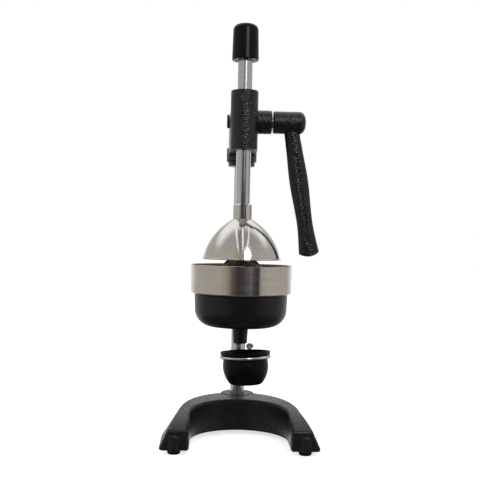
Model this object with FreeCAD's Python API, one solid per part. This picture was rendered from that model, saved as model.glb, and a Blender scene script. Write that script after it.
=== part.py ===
import FreeCAD, Part

import math
import os

# Lever citrus juice press, in millimetres.
# Z is up from the counter, X is towards the handle, and Y is towards the column.
# The origin is on the counter under the axis of the bell, the bowl and the spout.

V = FreeCAD.Vector

# Column
COLUMN_Y = 85.0
COLUMN_R = 10.5
COLUMN_STUD_R = 7.0
COLUMN_SHOULDER_Z = 24.0
COLUMN_TOP_Z = 450.0
SLIP = 0.05

# Base casting
FOOT_HEIGHT = 6.2
BASE_TOP_Z = 50.0
BASE_FRONT_Y = -77.0
BASE_BEND_Y = -20.0
BASE_BOTTOM_FRONT_X = 105.4
BASE_BOTTOM_SIDE_X = 107.0
BASE_BOTTOM_REAR_Y = 116.0
BASE_TOP_FRONT_X = 85.5
BASE_TOP_SIDE_X = 78.5
BASE_TOP_REAR_Y = 90.0
# Y and height of the top surface, from behind the column to the front of the feet
BASE_TOP_CURVE = [(130.0, 50.0), (35.0, 50.0), (-19.0, 46.8), (-53.0, 41.5), (-77.0, 32.5)]
NOSE_RUN = 20.0
NOSE_FALL = 9.0
GAP_R = 65.5
GAP_CENTRE_Y = -30.0
BASE_WALL = 5.5
BASE_EDGE_R = 4.2
FOOT_EDGE_R = 3.0
COLUMN_BOSS_R = 25.5
COLUMN_BOSS_TOP_Z = 51.2
COLUMN_BOSS_EDGE_R = 4.0
COLUMN_BOSS_FLOOR_Z = 16.0
COLUMN_WASHER_R = 14.0
COLUMN_WASHER_THICK = 2.5
COLUMN_NUT_ACROSS = 22.0
COLUMN_NUT_THICK = 5.5

# Rubber feet and their screws
FOOT_R = 8.2
FOOT_SPOTS = [(-85.0, -64.0), (85.0, -64.0), (-62.0, 72.0), (62.0, 72.0)]
FOOT_POST_R = 9.0
FOOT_SWELL_R = 12.5
FOOT_SWELL_Y = -66.2
FOOT_SWELL_TOP_Z = 27.0
FOOT_SWELL_EDGE_R = 4.0
FOOT_EDGE_ROUND = 1.2
FOOT_SEAT_R = 4.4
FOOT_SEAT_Z = 4.0
FOOT_SCREW_R = 2.0
FOOT_HEAD_R = 4.2
FOOT_HEAD_Z = 1.2
CROSS_ARM = 2.2
CROSS_HALF_WIDTH = 0.5
CROSS_FLOOR_Z = 2.4

# Bowl casting, band and strainer
BOWL_BOTTOM_Z = 158.4
BOWL_R = 63.8
BOWL_CORNER_R = 23.5
BOWL_WALL = 4.0
BOWL_SHOULDER_Z = 204.8
BOWL_TOP_Z = 240.0
BOWL_SEAT_Z = 218.0
BOWL_SEAT_R = 64.6
BAND_R = 69.2
BAND_WALL = 1.0
BAND_BOTTOM_Z = 203.6
BAND_BEND_R = 2.0
BAND_TOP_Z = 242.6
BAND_LIP_R = 66.0
SPOUT_TOP_R = 10.8
SPOUT_END_R = 9.6
SPOUT_END_Z = 135.0
SPOUT_BORE_R = 7.5
BOWL_BOSS_R = 17.0
BOWL_BOSS_Z = (164.0, 200.0)
CLAMP_EAR_X = 10.0
CLAMP_EAR_Y = 121.0
CLAMP_SLOT = 3.0
CLAMP_BOLT_Y = 111.0
CLAMP_BOLT_Z = 182.0
CLAMP_BOLT_R = 3.0
CLAMP_BOLT_TAIL = 7.0
CLAMP_HEAD_R = 5.0
CLAMP_HEAD_LENGTH = 6.0
CLAMP_SOCKET_ACROSS = 5.0
CLAMP_NUT_ACROSS = 10.0
CLAMP_NUT_LENGTH = 5.0
STRAINER_R = 64.3
STRAINER_PLATE = 1.5
CONE_BASE_R = 48.0
CONE_TIP_Z = 264.0
CONE_TIP_R = 5.0
CONE_WALL = 2.0
CONE_RIBS = 12
CONE_RIB_HEIGHT = 2.4
STRAINER_SLOTS = 24
STRAINER_SLOT_HALF = 1.3
CONE_RIB_HALF = 1.0

# Bell and its collar
BELL_RIM_Z = 250.0
BELL_RIM_R = 54.0
BELL_MID = (41.5, 279.0)
BELL_TOP_Z = 305.4
BELL_MID_LEAN = 34.0
BELL_WALL = 1.2
BELL_ROOF = 1.8
BELL_WASHER = 2.4
COLLAR_R = 13.25
COLLAR_TOP_Z = 326.0
BELL_BOLT_R = 5.0
BELL_WASHER_R = 12.0
BELL_BOLT_ACROSS = 16.0
BELL_BOLT_HEAD = 5.5
BELL_RIM_ROLL_R = 1.0

# Rack rod and cap
ROD_R = 10.0
ROD_TOP_Z = 560.0
CAP_BOTTOM_Z = 523.6
CAP_TOP_Z = 572.9
CAP_CROWN = 0.4
CAP_BOTTOM_R = 18.4
CAP_TOP_R = 17.4
CAP_EDGE_R = 8.2

# Rack and pinion teeth
MODULE = 2.0
TEETH = 11
PRESSURE_ANGLE = math.radians(20.0)
RACK_ADDENDUM = 1.25
ROOT_CLEARANCE = 0.35
BACKLASH = 0.15
RACK_TIP_Y = 8.5
SHAFT_Z = 442.0
RACK_SPACES = range(-13, 7)
PINION_HALF_WIDTH = 10.0
PITCH_R = MODULE * TEETH / 2
PINION_TIP_R = PITCH_R + MODULE
PINION_ROOT_R = PITCH_R - RACK_ADDENDUM - ROOT_CLEARANCE
RACK_PITCH_Y = RACK_TIP_Y - RACK_ADDENDUM
SHAFT_Y = RACK_PITCH_Y + PITCH_R
RACK_ROOT_Y = RACK_PITCH_Y - MODULE - ROOT_CLEARANCE

# Head casting
HEAD_FRONT_R = 18.9
HEAD_REAR_R = 19.5
HEAD_BOTTOM_Z = 400.5
HEAD_TOP_Z = 481.6
HEAD_WEB_TOP_Z = 458.0
REAR_SLEEVE_BOTTOM_Z = 385.5
REAR_BAND_R = 22.2
REAR_BAND_Z = (391.7, 412.4)
BOSS_R = 16.4
BOSS_END_X = 39.0
GEAR_ROOM_R = 13.6
GEAR_ROOM_LEFT_X = -10.5
BUSH_R = 13.15
BUSH_START_X = 19.0
LEFT_PAD_X = -19.1
LEFT_PAD_START_X = -12.0
LEFT_PAD_R = 10.5
HEAD_EDGE_R = 1.5
WEB_EDGE_R = 4.0
REAR_BAND_EDGE_R = 2.2
BOSS_CHAMFER = 1.2
THRUST_WASHER_R = 9.0
THRUST_WASHER_THICK = 1.0
SET_SCREW_R = 4.0
SET_SCREW_SOCKET = 4.0
SET_SCREW_Z = 402.0
SET_SCREW_SPREAD = 35.0
FRICTION_Z = 470.5
FRICTION_R = 6.0
FRICTION_SINK = 0.5
FRICTION_LENGTH = 3.5
FRICTION_SLOT_HALF = 0.7
FRICTION_SLOT_DEPTH = 1.3
SPRING_R = 4.5
SPRING_BORE_R = 3.0
SPRING_LENGTH = 1.8

# Lever shaft and its end pieces
SHAFT_R = 8.0
SHAFT_END_X = 78.0
JOURNAL_R = 6.0
JOURNAL_END_X = -20.3
END_SCREW_R = 9.75
END_SCREW_X = -23.4
END_SCREW_EDGE_R = 1.8
END_SCREW_HOLE_R = 3.0
END_SCREW_DEPTH = 12.0

# Handle
HUB_R = 15.6
HUB_START_X = 41.0
HUB_END_X = 86.3
HUB_DOME_X = 79.2
HUB_FLAT_R = 3.0
ARM_X = 65.3
ARM_LEAN = 9.2
ARM_END = 188.8
ARM_END_R = 22.0
# distance from the hub, half width across, half thickness front to back
ARM_ROOT = (2.0, 10.6, 8.2)
ARM_SECTIONS = [
    (28.0, 11.0, 8.1),
    (40.0, 11.5, 8.0),
    (51.0, 12.0, 8.15),
    (62.0, 12.6, 8.3),
    (73.0, 13.05, 8.42),
    (83.0, 13.25, 8.5),
    (94.0, 13.05, 8.42),
    (105.0, 12.55, 8.3),
    (116.0, 12.0, 8.08),
    (127.0, 11.45, 7.85),
    (137.0, 11.15, 7.7),
    (147.0, 11.25, 7.75),
    (157.0, 11.8, 7.95),
    (168.0, 12.7, 8.25),
    (179.0, 13.75, 8.6),
    (194.0, 15.1, 8.9),
]
ARM_CHANNEL = (48.0, 168.0)
ARM_CHANNEL_R = 9.0
ARM_CHANNEL_DEPTH = 1.1
GRUB_X = 56.0
GRUB_R = 4.0

# Drip cup, its ring and its collar
RING_CENTRE_X = 7.7
RING_Z = 116.4
RING_OUTER_R = 36.2
WIRE_R = 2.0
DRIP_TILT = 2.1
DRIP_RISE = 3.4
CUP_RIM_R = 34.6
CUP_RIM_Z = 123.8
CUP_BODY_R = 30.7
CUP_MID = (29.2, 92.0)
CUP_BOTTOM_R = 22.5
CUP_BOTTOM_Z = 79.0
CUP_WALL = 1.6
DRIP_COLLAR_R = 13.5
DRIP_COLLAR_Z = (100.0, 113.5)
STEM_R = 3.0
WING_SCREW_R = 3.0
WING_SCREW_Z = 107.4
WING_START_X = 14.2
WING_HUB_R = 4.8
WING_HUB_LENGTH = 5.2
WING_INNER_X = 12.0
WING_END_X = 23.3
WING_SPAN = 16.6
WING_HALF_THICKNESS = 1.7
WING_EDGE_R = 0.7
WING_LEAN = 20.0


def cylinder(radius, start, end):
    """A round bar from one point to another."""
    run = V(*end) - V(*start)
    return Part.makeCylinder(radius, run.Length, V(*start), run)


def tube(outer, inner, z0, z1, x=0.0, y=0.0):
    """An upright tube."""
    return cylinder(outer, (x, y, z0), (x, y, z1)).cut(cylinder(inner, (x, y, z0 - 1), (x, y, z1 + 1)))


def block(x, y, z):
    """A box from its three pairs of limits."""
    return Part.makeBox(x[1] - x[0], y[1] - y[0], z[1] - z[0], V(x[0], y[0], z[0]))


def outline(start, steps, place):
    """A closed wire. A step is an end point, or a pair of points for an arc and its end."""
    edges = []
    here = start
    for step in list(steps) + [start]:
        arc = isinstance(step[0], tuple)
        end = step[1] if arc else step
        if arc:
            edges.append(Part.Arc(place(*here), place(*step[0]), place(*end)).toShape())
        elif math.dist(here, end) > 1e-6:
            edges.append(Part.LineSegment(place(*here), place(*end)).toShape())
        here = end
    return Part.Wire(edges)


def turned(start, *steps):
    """A solid turned about the Z axis from an outline of radius and height."""
    wire = outline(start, steps, lambda r, z: V(r, 0, z))
    return Part.Face(wire).revolve(V(0, 0, 0), V(0, 0, 1), 360)


def prism(points, place, run):
    """A straight solid with a polygon for its section."""
    wire = Part.makePolygon([place(*p) for p in points] + [place(*points[0])])
    return Part.Face(wire).extrude(run)


def hexagon(across, start, end):
    """A hexagonal bar from one point to another."""
    run = V(*end) - V(*start)
    corner = across / math.sqrt(3)
    points = [V(corner * math.cos(math.radians(60 * i)), corner * math.sin(math.radians(60 * i)), 0)
              for i in range(6)]
    bar = Part.Face(Part.makePolygon(points + [points[0]])).extrude(V(0, 0, run.Length))
    bar.Placement = FreeCAD.Placement(V(*start), FreeCAD.Rotation(V(0, 0, 1), run))
    return bar


def edges_where(shape, test):
    """The edges whose middle point and length pass a test."""
    found = []
    for edge in shape.Edges:
        middle = edge.valueAt((edge.FirstParameter + edge.LastParameter) / 2)
        if test(middle, edge):
            found.append(edge)
    return found


def turn_about(shape, point, axis, degrees):
    """A copy turned about a line."""
    copy = shape.copy()
    copy.rotate(V(*point), V(*axis), degrees)
    return copy


def save(name, shape):
    """Write one sub-part and print what it measures."""
    box = shape.BoundBox
    print(f"{name:18s} solids {len(shape.Solids):2d} volume {shape.Volume / 1000:8.2f} cm3 "
          f"valid {shape.isValid()} x {box.XMin:.1f}..{box.XMax:.1f} y {box.YMin:.1f}..{box.YMax:.1f} "
          f"z {box.ZMin:.1f}..{box.ZMax:.1f}")
    shape.exportStep(f"parts/{name}.step")


def horseshoe_outline(front_x, side_x, rear_y, z, inset=0.0):
    """The outer outline of the base at one height: two straight legs and half an ellipse."""
    front = BASE_FRONT_Y + inset
    half = side_x - inset
    depth = rear_y - inset - BASE_BEND_Y
    corner = front_x - inset
    centre = V(0, BASE_BEND_Y, z)
    rear = V(0, BASE_BEND_Y + depth, z)
    right, left = V(half, BASE_BEND_Y, z), V(-half, BASE_BEND_Y, z)
    long_end, short_end = (rear, left) if depth > half else (right, rear)
    ellipse = Part.Ellipse(long_end, short_end, centre)
    start, end = ellipse.parameter(right), ellipse.parameter(left)
    if end < start:
        end += 2 * math.pi
    curve = Part.ArcOfEllipse(ellipse, start, end).toShape()
    return Part.Wire([
        Part.LineSegment(V(-corner, front, z), V(corner, front, z)).toShape(),
        Part.LineSegment(V(corner, front, z), right).toShape(),
        curve,
        Part.LineSegment(left, V(-corner, front, z)).toShape(),
    ])


def under_top_curve(drop):
    """Everything under the base's top surface, which falls towards the front of the legs."""
    curve = Part.BSplineCurve()
    curve.interpolate([V(0, y, z - drop) for y, z in BASE_TOP_CURVE])
    (y0, z0), (y1, z1) = BASE_TOP_CURVE[0], BASE_TOP_CURVE[-1]
    far = y1 - NOSE_RUN
    nose = z1 - drop - NOSE_FALL
    wire = Part.Wire([
        curve.toShape(),
        Part.LineSegment(V(0, y1, z1 - drop), V(0, far, nose)).toShape(),
        Part.LineSegment(V(0, far, nose), V(0, far, 0)).toShape(),
        Part.LineSegment(V(0, far, 0), V(0, y0, 0)).toShape(),
        Part.LineSegment(V(0, y0, 0), V(0, y0, z0 - drop)).toShape(),
    ])
    wire.translate(V(-150, 0, 0))
    return Part.Face(wire).extrude(V(300, 0, 0))


def glass_gap(grow):
    """The round-ended gap between the legs, where the glass stands."""
    radius = GAP_R + grow
    low, high = -10.0, 90.0
    round_end = cylinder(radius, (0, GAP_CENTRE_Y, low), (0, GAP_CENTRE_Y, high))
    lane = block((-radius, radius), (BASE_FRONT_Y - 40, GAP_CENTRE_Y), (low, high))
    return round_end.fuse(lane).removeSplitter()


def base():
    """The horseshoe casting, hollow underneath, with the column boss and the foot posts."""
    outside = Part.makeLoft([
        horseshoe_outline(BASE_BOTTOM_FRONT_X, BASE_BOTTOM_SIDE_X, BASE_BOTTOM_REAR_Y, FOOT_HEIGHT),
        horseshoe_outline(BASE_TOP_FRONT_X, BASE_TOP_SIDE_X, BASE_TOP_REAR_Y, BASE_TOP_Z + 1),
    ], True, True)
    shell = outside.common(under_top_curve(0)).cut(glass_gap(0))
    edges = edges_where(shell, lambda m, e: m.z > FOOT_HEIGHT + 3 and e.Length > 12)
    shell = shell.makeFillet(BASE_EDGE_R, edges)
    lower = edges_where(shell, lambda m, e: m.z < FOOT_HEIGHT + 0.1 and m.y < BASE_FRONT_Y + 0.5)
    shell = shell.makeFillet(FOOT_EDGE_R, lower)
    room = Part.makeLoft([
        horseshoe_outline(BASE_BOTTOM_FRONT_X, BASE_BOTTOM_SIDE_X, BASE_BOTTOM_REAR_Y,
                          FOOT_HEIGHT - 1, BASE_WALL),
        horseshoe_outline(BASE_TOP_FRONT_X, BASE_TOP_SIDE_X, BASE_TOP_REAR_Y,
                          BASE_TOP_Z + 1, BASE_WALL + 1.5),
    ], True, True)
    room = room.common(under_top_curve(BASE_WALL)).cut(glass_gap(BASE_WALL))
    posts = [cylinder(FOOT_POST_R, (x, y, FOOT_HEIGHT), (x, y, BASE_TOP_Z)) for x, y in FOOT_SPOTS]
    posts.append(cylinder(COLUMN_BOSS_R, (0, COLUMN_Y, COLUMN_BOSS_FLOOR_Z), (0, COLUMN_Y, BASE_TOP_Z)))
    casting = shell.cut(room.cut(Part.makeCompound(posts)))
    boss = cylinder(COLUMN_BOSS_R, (0, COLUMN_Y, COLUMN_BOSS_FLOOR_Z), (0, COLUMN_Y, COLUMN_BOSS_TOP_Z))
    rim = edges_where(boss, lambda m, e: m.z > COLUMN_BOSS_TOP_Z - 0.1)
    boss = boss.makeFillet(COLUMN_BOSS_EDGE_R, rim)
    swells = []
    for x, _ in FOOT_SPOTS[:2]:
        swell = cylinder(FOOT_SWELL_R, (x, FOOT_SWELL_Y, FOOT_HEIGHT), (x, FOOT_SWELL_Y, FOOT_SWELL_TOP_Z))
        rim = edges_where(swell, lambda m, e: m.z > FOOT_SWELL_TOP_Z - 0.1)
        swells.append(swell.makeFillet(FOOT_SWELL_EDGE_R, rim))
    casting = casting.fuse([boss] + swells).removeSplitter()
    holes = [
        cylinder(COLUMN_R, (0, COLUMN_Y, COLUMN_SHOULDER_Z), (0, COLUMN_Y, 80)),
        cylinder(COLUMN_STUD_R + SLIP, (0, COLUMN_Y, 0), (0, COLUMN_Y, 80)),
    ]
    holes += [cylinder(FOOT_SCREW_R + SLIP, (x, y, 0), (x, y, FOOT_HEIGHT + 12)) for x, y in FOOT_SPOTS]
    return casting.cut(Part.makeCompound(holes))


def rubber_feet():
    """Four pads, each with a sunk seat for its screw head."""
    pads = []
    for x, y in FOOT_SPOTS:
        pad = cylinder(FOOT_R, (x, y, 0), (x, y, FOOT_HEIGHT))
        pad = pad.makeFillet(FOOT_EDGE_ROUND, edges_where(pad, lambda m, e: m.z < 0.1))
        seat = cylinder(FOOT_SEAT_R, (x, y, -1), (x, y, FOOT_SEAT_Z))
        pads.append(pad.cut(seat).cut(cylinder(FOOT_SCREW_R + 0.2, (x, y, 0), (x, y, 20))))
    return Part.makeCompound(pads)


def foot_screws():
    """Four cross-head screws, sunk in the pads."""
    screws = []
    for x, y in FOOT_SPOTS:
        head = cylinder(FOOT_HEAD_R, (x, y, FOOT_HEAD_Z), (x, y, FOOT_SEAT_Z))
        shank = cylinder(FOOT_SCREW_R, (x, y, FOOT_SEAT_Z), (x, y, FOOT_HEIGHT + 10))
        arm, half = CROSS_ARM, CROSS_HALF_WIDTH
        cross = block((x - arm, x + arm), (y - half, y + half), (0, CROSS_FLOOR_Z))
        cross = cross.fuse(block((x - half, x + half), (y - arm, y + arm), (0, CROSS_FLOOR_Z)))
        screws.append(head.fuse(shank).cut(cross).removeSplitter())
    return Part.makeCompound(screws)


def column():
    """The steel column with its threaded lower stud."""
    bar = cylinder(COLUMN_R, (0, COLUMN_Y, COLUMN_SHOULDER_Z), (0, COLUMN_Y, COLUMN_TOP_Z))
    bar = bar.makeChamfer(1.0, edges_where(bar, lambda m, e: m.z > COLUMN_TOP_Z - 0.1))
    stud = cylinder(COLUMN_STUD_R, (0, COLUMN_Y, 10), (0, COLUMN_Y, COLUMN_SHOULDER_Z + 1))
    return bar.fuse(stud).removeSplitter()


def column_washer():
    """The washer under the column boss."""
    low = COLUMN_BOSS_FLOOR_Z - COLUMN_WASHER_THICK
    return tube(COLUMN_WASHER_R, COLUMN_STUD_R + SLIP, low, COLUMN_BOSS_FLOOR_Z, y=COLUMN_Y)


def column_nut():
    """The nut that pulls the column down on its shoulder."""
    top = COLUMN_BOSS_FLOOR_Z - COLUMN_WASHER_THICK
    nut = hexagon(COLUMN_NUT_ACROSS, (0, COLUMN_Y, top - COLUMN_NUT_THICK), (0, COLUMN_Y, top))
    return nut.cut(cylinder(COLUMN_STUD_R + SLIP, (0, COLUMN_Y, 0), (0, COLUMN_Y, 30)))


def arc_point(centre, radius, degrees):
    """A point on a circle, as a pair."""
    turn = math.radians(degrees)
    return (centre[0] + radius * math.cos(turn), centre[1] + radius * math.sin(turn))


def bowl_casting():
    """The juice bowl: spout, floor, wall, the wide upper part under the band, and the clamp."""
    corner = (BOWL_R - 0.8 - BOWL_CORNER_R, BOWL_BOTTOM_Z + BOWL_CORNER_R)
    inner = BOWL_CORNER_R - BOWL_WALL
    wall_r = BOWL_R - BOWL_WALL - 0.8
    under_band = BAND_R - BAND_WALL - 0.1
    bowl = turned(
        (SPOUT_BORE_R, SPOUT_END_Z),
        (SPOUT_END_R - 0.8, SPOUT_END_Z),
        (SPOUT_END_R, SPOUT_END_Z + 0.8),
        (SPOUT_TOP_R, BOWL_BOTTOM_Z - 2),
        ((SPOUT_TOP_R + 0.6, BOWL_BOTTOM_Z - 0.6), (SPOUT_TOP_R + 2, BOWL_BOTTOM_Z)),
        (corner[0], BOWL_BOTTOM_Z),
        (arc_point(corner, BOWL_CORNER_R, -45), arc_point(corner, BOWL_CORNER_R, 0)),
        (BOWL_R, BOWL_SHOULDER_Z - 3),
        (BOWL_R + 1.2, BOWL_SHOULDER_Z),
        (under_band - BAND_BEND_R, BOWL_SHOULDER_Z),
        (under_band, BOWL_SHOULDER_Z + BAND_BEND_R),
        (under_band, BOWL_TOP_Z),
        (BOWL_SEAT_R, BOWL_TOP_Z),
        (BOWL_SEAT_R, BOWL_SEAT_Z),
        (wall_r, BOWL_SEAT_Z),
        (wall_r, corner[1]),
        (arc_point(corner, inner, -45), (corner[0], BOWL_BOTTOM_Z + BOWL_WALL)),
        (SPOUT_BORE_R, BOWL_BOTTOM_Z + BOWL_WALL - 1.2),
    )
    z0, z1 = BOWL_BOSS_Z
    boss = cylinder(BOWL_BOSS_R, (0, COLUMN_Y, z0), (0, COLUMN_Y, z1))
    boss = boss.makeFillet(2.0, edges_where(boss, lambda m, e: abs(e.Length) > 60))
    neck = block((-13, 13), (BOWL_R - 8, COLUMN_Y - 4), (z0 + 4, z1 - 1))
    ears = block((-CLAMP_EAR_X, CLAMP_EAR_X), (COLUMN_Y + 8, CLAMP_EAR_Y), (z0 + 6, z1 - 6))
    upright = edges_where(ears, lambda m, e: m.y > CLAMP_EAR_Y - 0.1 and abs(m.z - CLAMP_BOLT_Z) > 11)
    ears = ears.makeFillet(5.0, upright)
    room = turned((0, BOWL_SEAT_Z), (wall_r, BOWL_SEAT_Z), (wall_r, corner[1]),
                  (arc_point(corner, inner, -45), (corner[0], BOWL_BOTTOM_Z + BOWL_WALL)),
                  (0, BOWL_BOTTOM_Z + BOWL_WALL))
    slot_x = CLAMP_SLOT / 2
    holes = [
        cylinder(COLUMN_R + SLIP / 2, (0, COLUMN_Y, 0), (0, COLUMN_Y, 300)),
        block((-slot_x, slot_x), (COLUMN_Y + 5, CLAMP_EAR_Y + 5), (z0 - 5, z1 + 5)),
        cylinder(CLAMP_BOLT_R + SLIP, (-20, CLAMP_BOLT_Y, CLAMP_BOLT_Z), (20, CLAMP_BOLT_Y, CLAMP_BOLT_Z)),
        room,
    ]
    return bowl.fuse([boss, neck, ears]).cut(Part.makeCompound(holes)).removeSplitter()


def bowl_clamp_bolt():
    """A socket-head bolt along X through both ears."""
    y, z = CLAMP_BOLT_Y, CLAMP_BOLT_Z
    shank = cylinder(CLAMP_BOLT_R, (-CLAMP_EAR_X - CLAMP_BOLT_TAIL, y, z), (CLAMP_EAR_X, y, z))
    end = CLAMP_EAR_X + CLAMP_HEAD_LENGTH
    head = cylinder(CLAMP_HEAD_R, (CLAMP_EAR_X, y, z), (end, y, z))
    socket = hexagon(CLAMP_SOCKET_ACROSS, (end - CLAMP_HEAD_LENGTH / 2, y, z), (end + 1, y, z))
    return shank.fuse(head).cut(socket).removeSplitter()


def bowl_clamp_nut():
    """The nut on the clamp bolt's left end."""
    y, z = CLAMP_BOLT_Y, CLAMP_BOLT_Z
    nut = hexagon(CLAMP_NUT_ACROSS, (-CLAMP_EAR_X - CLAMP_NUT_LENGTH, y, z), (-CLAMP_EAR_X, y, z))
    return nut.cut(cylinder(CLAMP_BOLT_R + SLIP, (-40, y, z), (40, y, z)))


def steel_band():
    """The band round the bowl, with its lower edge turned in under the casting."""
    inner = BAND_R - BAND_WALL
    low = BAND_BOTTOM_Z
    bend = (BAND_R - BAND_BEND_R, low + BAND_BEND_R)
    return turned(
        (BAND_LIP_R, low),
        (bend[0], low),
        (arc_point(bend, BAND_BEND_R, -45), (BAND_R, bend[1])),
        (BAND_R, BAND_TOP_Z - BAND_WALL / 2),
        ((BAND_R - BAND_WALL / 2, BAND_TOP_Z), (inner, BAND_TOP_Z - BAND_WALL / 2)),
        (inner, bend[1]),
        (arc_point(bend, BAND_BEND_R - BAND_WALL, -45), (bend[0], low + BAND_WALL)),
        (BAND_LIP_R, low + BAND_WALL),
    )


def strainer_cone():
    """The ribbed press cone on its slotted strainer floor."""
    floor = BOWL_SEAT_Z
    top = floor + STRAINER_PLATE
    rise = CONE_TIP_Z - top
    slope = (CONE_BASE_R - CONE_TIP_R) / rise
    across = CONE_WALL * math.hypot(1, slope)
    body = turned(
        (CONE_BASE_R - across, floor),
        (STRAINER_R, floor),
        (STRAINER_R, top),
        (CONE_BASE_R, top),
        (CONE_TIP_R, CONE_TIP_Z),
        ((CONE_TIP_R * 0.85, CONE_TIP_Z + 1.2), (CONE_TIP_R * 0.5, CONE_TIP_Z + 1.6)),
        (0, CONE_TIP_Z + 1.6),
        (0, CONE_TIP_Z - 3),
    )
    foot = CONE_BASE_R - 4
    rib = prism([(CONE_TIP_R - 1, CONE_TIP_Z - 1.5), (CONE_TIP_R + 1.4, CONE_TIP_Z - 1.5),
                 (foot + CONE_RIB_HEIGHT + 0.8, top + 3), (foot - 1, top + 3)],
                lambda r, z: V(r, -CONE_RIB_HALF, z), V(0, 2 * CONE_RIB_HALF, 0))
    ribs = [turn_about(rib, (0, 0, 0), (0, 0, 1), 360 / CONE_RIBS * (i + 0.5)) for i in range(CONE_RIBS)]
    slot = block((CONE_BASE_R + 2.5, STRAINER_R - 3.5), (-STRAINER_SLOT_HALF, STRAINER_SLOT_HALF),
                 (floor - 2, top + 2))
    slots = [turn_about(slot, (0, 0, 0), (0, 0, 1), 360 / STRAINER_SLOTS * (i + 0.5))
             for i in range(STRAINER_SLOTS)]
    return body.fuse(ribs).removeSplitter().cut(Part.makeCompound(slots))


def rod_bore(radius, z0, z1):
    """A round cutter along the rod's axis."""
    return cylinder(radius, (0, 0, z0), (0, 0, z1))


def head_casting():
    """Front sleeve for the rod, gear housing with its right boss, and the rear sleeve."""
    sleeve = cylinder(HEAD_FRONT_R, (0, 0, HEAD_BOTTOM_Z), (0, 0, HEAD_TOP_Z))
    sleeve = sleeve.makeFillet(HEAD_EDGE_R, edges_where(sleeve, lambda m, e: e.Length > 60))
    lean = math.asin((HEAD_REAR_R - HEAD_FRONT_R) / COLUMN_Y)
    front, rear = (HEAD_FRONT_R, 0.0), (HEAD_REAR_R, COLUMN_Y)
    sides = [(r * math.cos(lean), y - r * math.sin(lean)) for r, y in (front, rear)]
    plan = [(-sides[0][0], sides[0][1]), sides[0], sides[1], (-sides[1][0], sides[1][1])]
    web_run = V(0, 0, HEAD_WEB_TOP_Z - HEAD_BOTTOM_Z)
    web = prism(plan, lambda x, y: V(x, y, HEAD_BOTTOM_Z), web_run)
    web = web.fuse([
        cylinder(HEAD_FRONT_R, (0, 0, HEAD_BOTTOM_Z), (0, 0, HEAD_WEB_TOP_Z)),
        cylinder(HEAD_REAR_R, (0, COLUMN_Y, HEAD_BOTTOM_Z), (0, COLUMN_Y, HEAD_WEB_TOP_Z)),
    ]).removeSplitter()
    web = web.makeFillet(WEB_EDGE_R, edges_where(web, lambda m, e: m.z > HEAD_WEB_TOP_Z - 0.1 and m.y > 5))
    rear_sleeve = cylinder(HEAD_REAR_R, (0, COLUMN_Y, REAR_SLEEVE_BOTTOM_Z),
                           (0, COLUMN_Y, HEAD_BOTTOM_Z + 20))
    rear_sleeve = rear_sleeve.makeFillet(HEAD_EDGE_R, edges_where(
        rear_sleeve, lambda m, e: m.z < REAR_SLEEVE_BOTTOM_Z + 0.1))
    z0, z1 = REAR_BAND_Z
    band = cylinder(REAR_BAND_R, (0, COLUMN_Y, z0), (0, COLUMN_Y, z1))
    band = band.makeFillet(REAR_BAND_EDGE_R, edges_where(band, lambda m, e: e.Length > 60))
    boss = cylinder(BOSS_R, (0, SHAFT_Y, SHAFT_Z), (BOSS_END_X, SHAFT_Y, SHAFT_Z))
    boss = boss.makeChamfer(BOSS_CHAMFER, edges_where(boss, lambda m, e: m.x > BOSS_END_X - 0.1))
    pad = cylinder(LEFT_PAD_R, (LEFT_PAD_X, SHAFT_Y, SHAFT_Z), (LEFT_PAD_START_X, SHAFT_Y, SHAFT_Z))
    solid = sleeve.fuse([web, rear_sleeve, band, boss, pad]).removeSplitter()
    holes = [
        rod_bore(ROD_R + SLIP, HEAD_BOTTOM_Z - 5, HEAD_TOP_Z + 5),
        cylinder(COLUMN_R + SLIP / 2, (0, COLUMN_Y, 300), (0, COLUMN_Y, COLUMN_TOP_Z)),
        cylinder(GEAR_ROOM_R, (GEAR_ROOM_LEFT_X, SHAFT_Y, SHAFT_Z), (BUSH_START_X, SHAFT_Y, SHAFT_Z)),
        cylinder(BUSH_R, (0, SHAFT_Y, SHAFT_Z), (BOSS_END_X + 5, SHAFT_Y, SHAFT_Z)),
        cylinder(JOURNAL_R + SLIP, (-30, SHAFT_Y, SHAFT_Z), (0, SHAFT_Y, SHAFT_Z)),
        cylinder(FRICTION_R + SLIP, (0, -30, FRICTION_Z), (0, 0, FRICTION_Z)),
    ]
    holes += [screw_bar(SET_SCREW_R + SLIP, COLUMN_R - 2, 40, turn) for turn in set_screw_turns()]
    return solid.cut(Part.makeCompound(holes)).removeSplitter()


def set_screw_turns():
    """The directions of the two set screws, in degrees from +X."""
    return [90 - SET_SCREW_SPREAD, 90 + SET_SCREW_SPREAD]


def screw_bar(radius, start, end, degrees):
    """A round bar that points out from the column at the set screws' height."""
    turn = math.radians(degrees)
    way = (math.cos(turn), math.sin(turn))
    return cylinder(radius, (start * way[0], COLUMN_Y + start * way[1], SET_SCREW_Z),
                    (end * way[0], COLUMN_Y + end * way[1], SET_SCREW_Z))


def head_set_screws():
    """Two hex-socket screws that press on the back of the column."""
    screws = []
    for turn in set_screw_turns():
        angle = math.radians(turn)
        way = (math.cos(angle), math.sin(angle))
        start, end = REAR_BAND_R - 4.5, REAR_BAND_R
        socket = hexagon(SET_SCREW_SOCKET, (start * way[0], COLUMN_Y + start * way[1], SET_SCREW_Z),
                         (end * way[0], COLUMN_Y + end * way[1], SET_SCREW_Z))
        screws.append(screw_bar(SET_SCREW_R, COLUMN_R + 0.1, REAR_BAND_R - 1, turn).cut(socket))
    return Part.makeCompound(screws)


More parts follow.
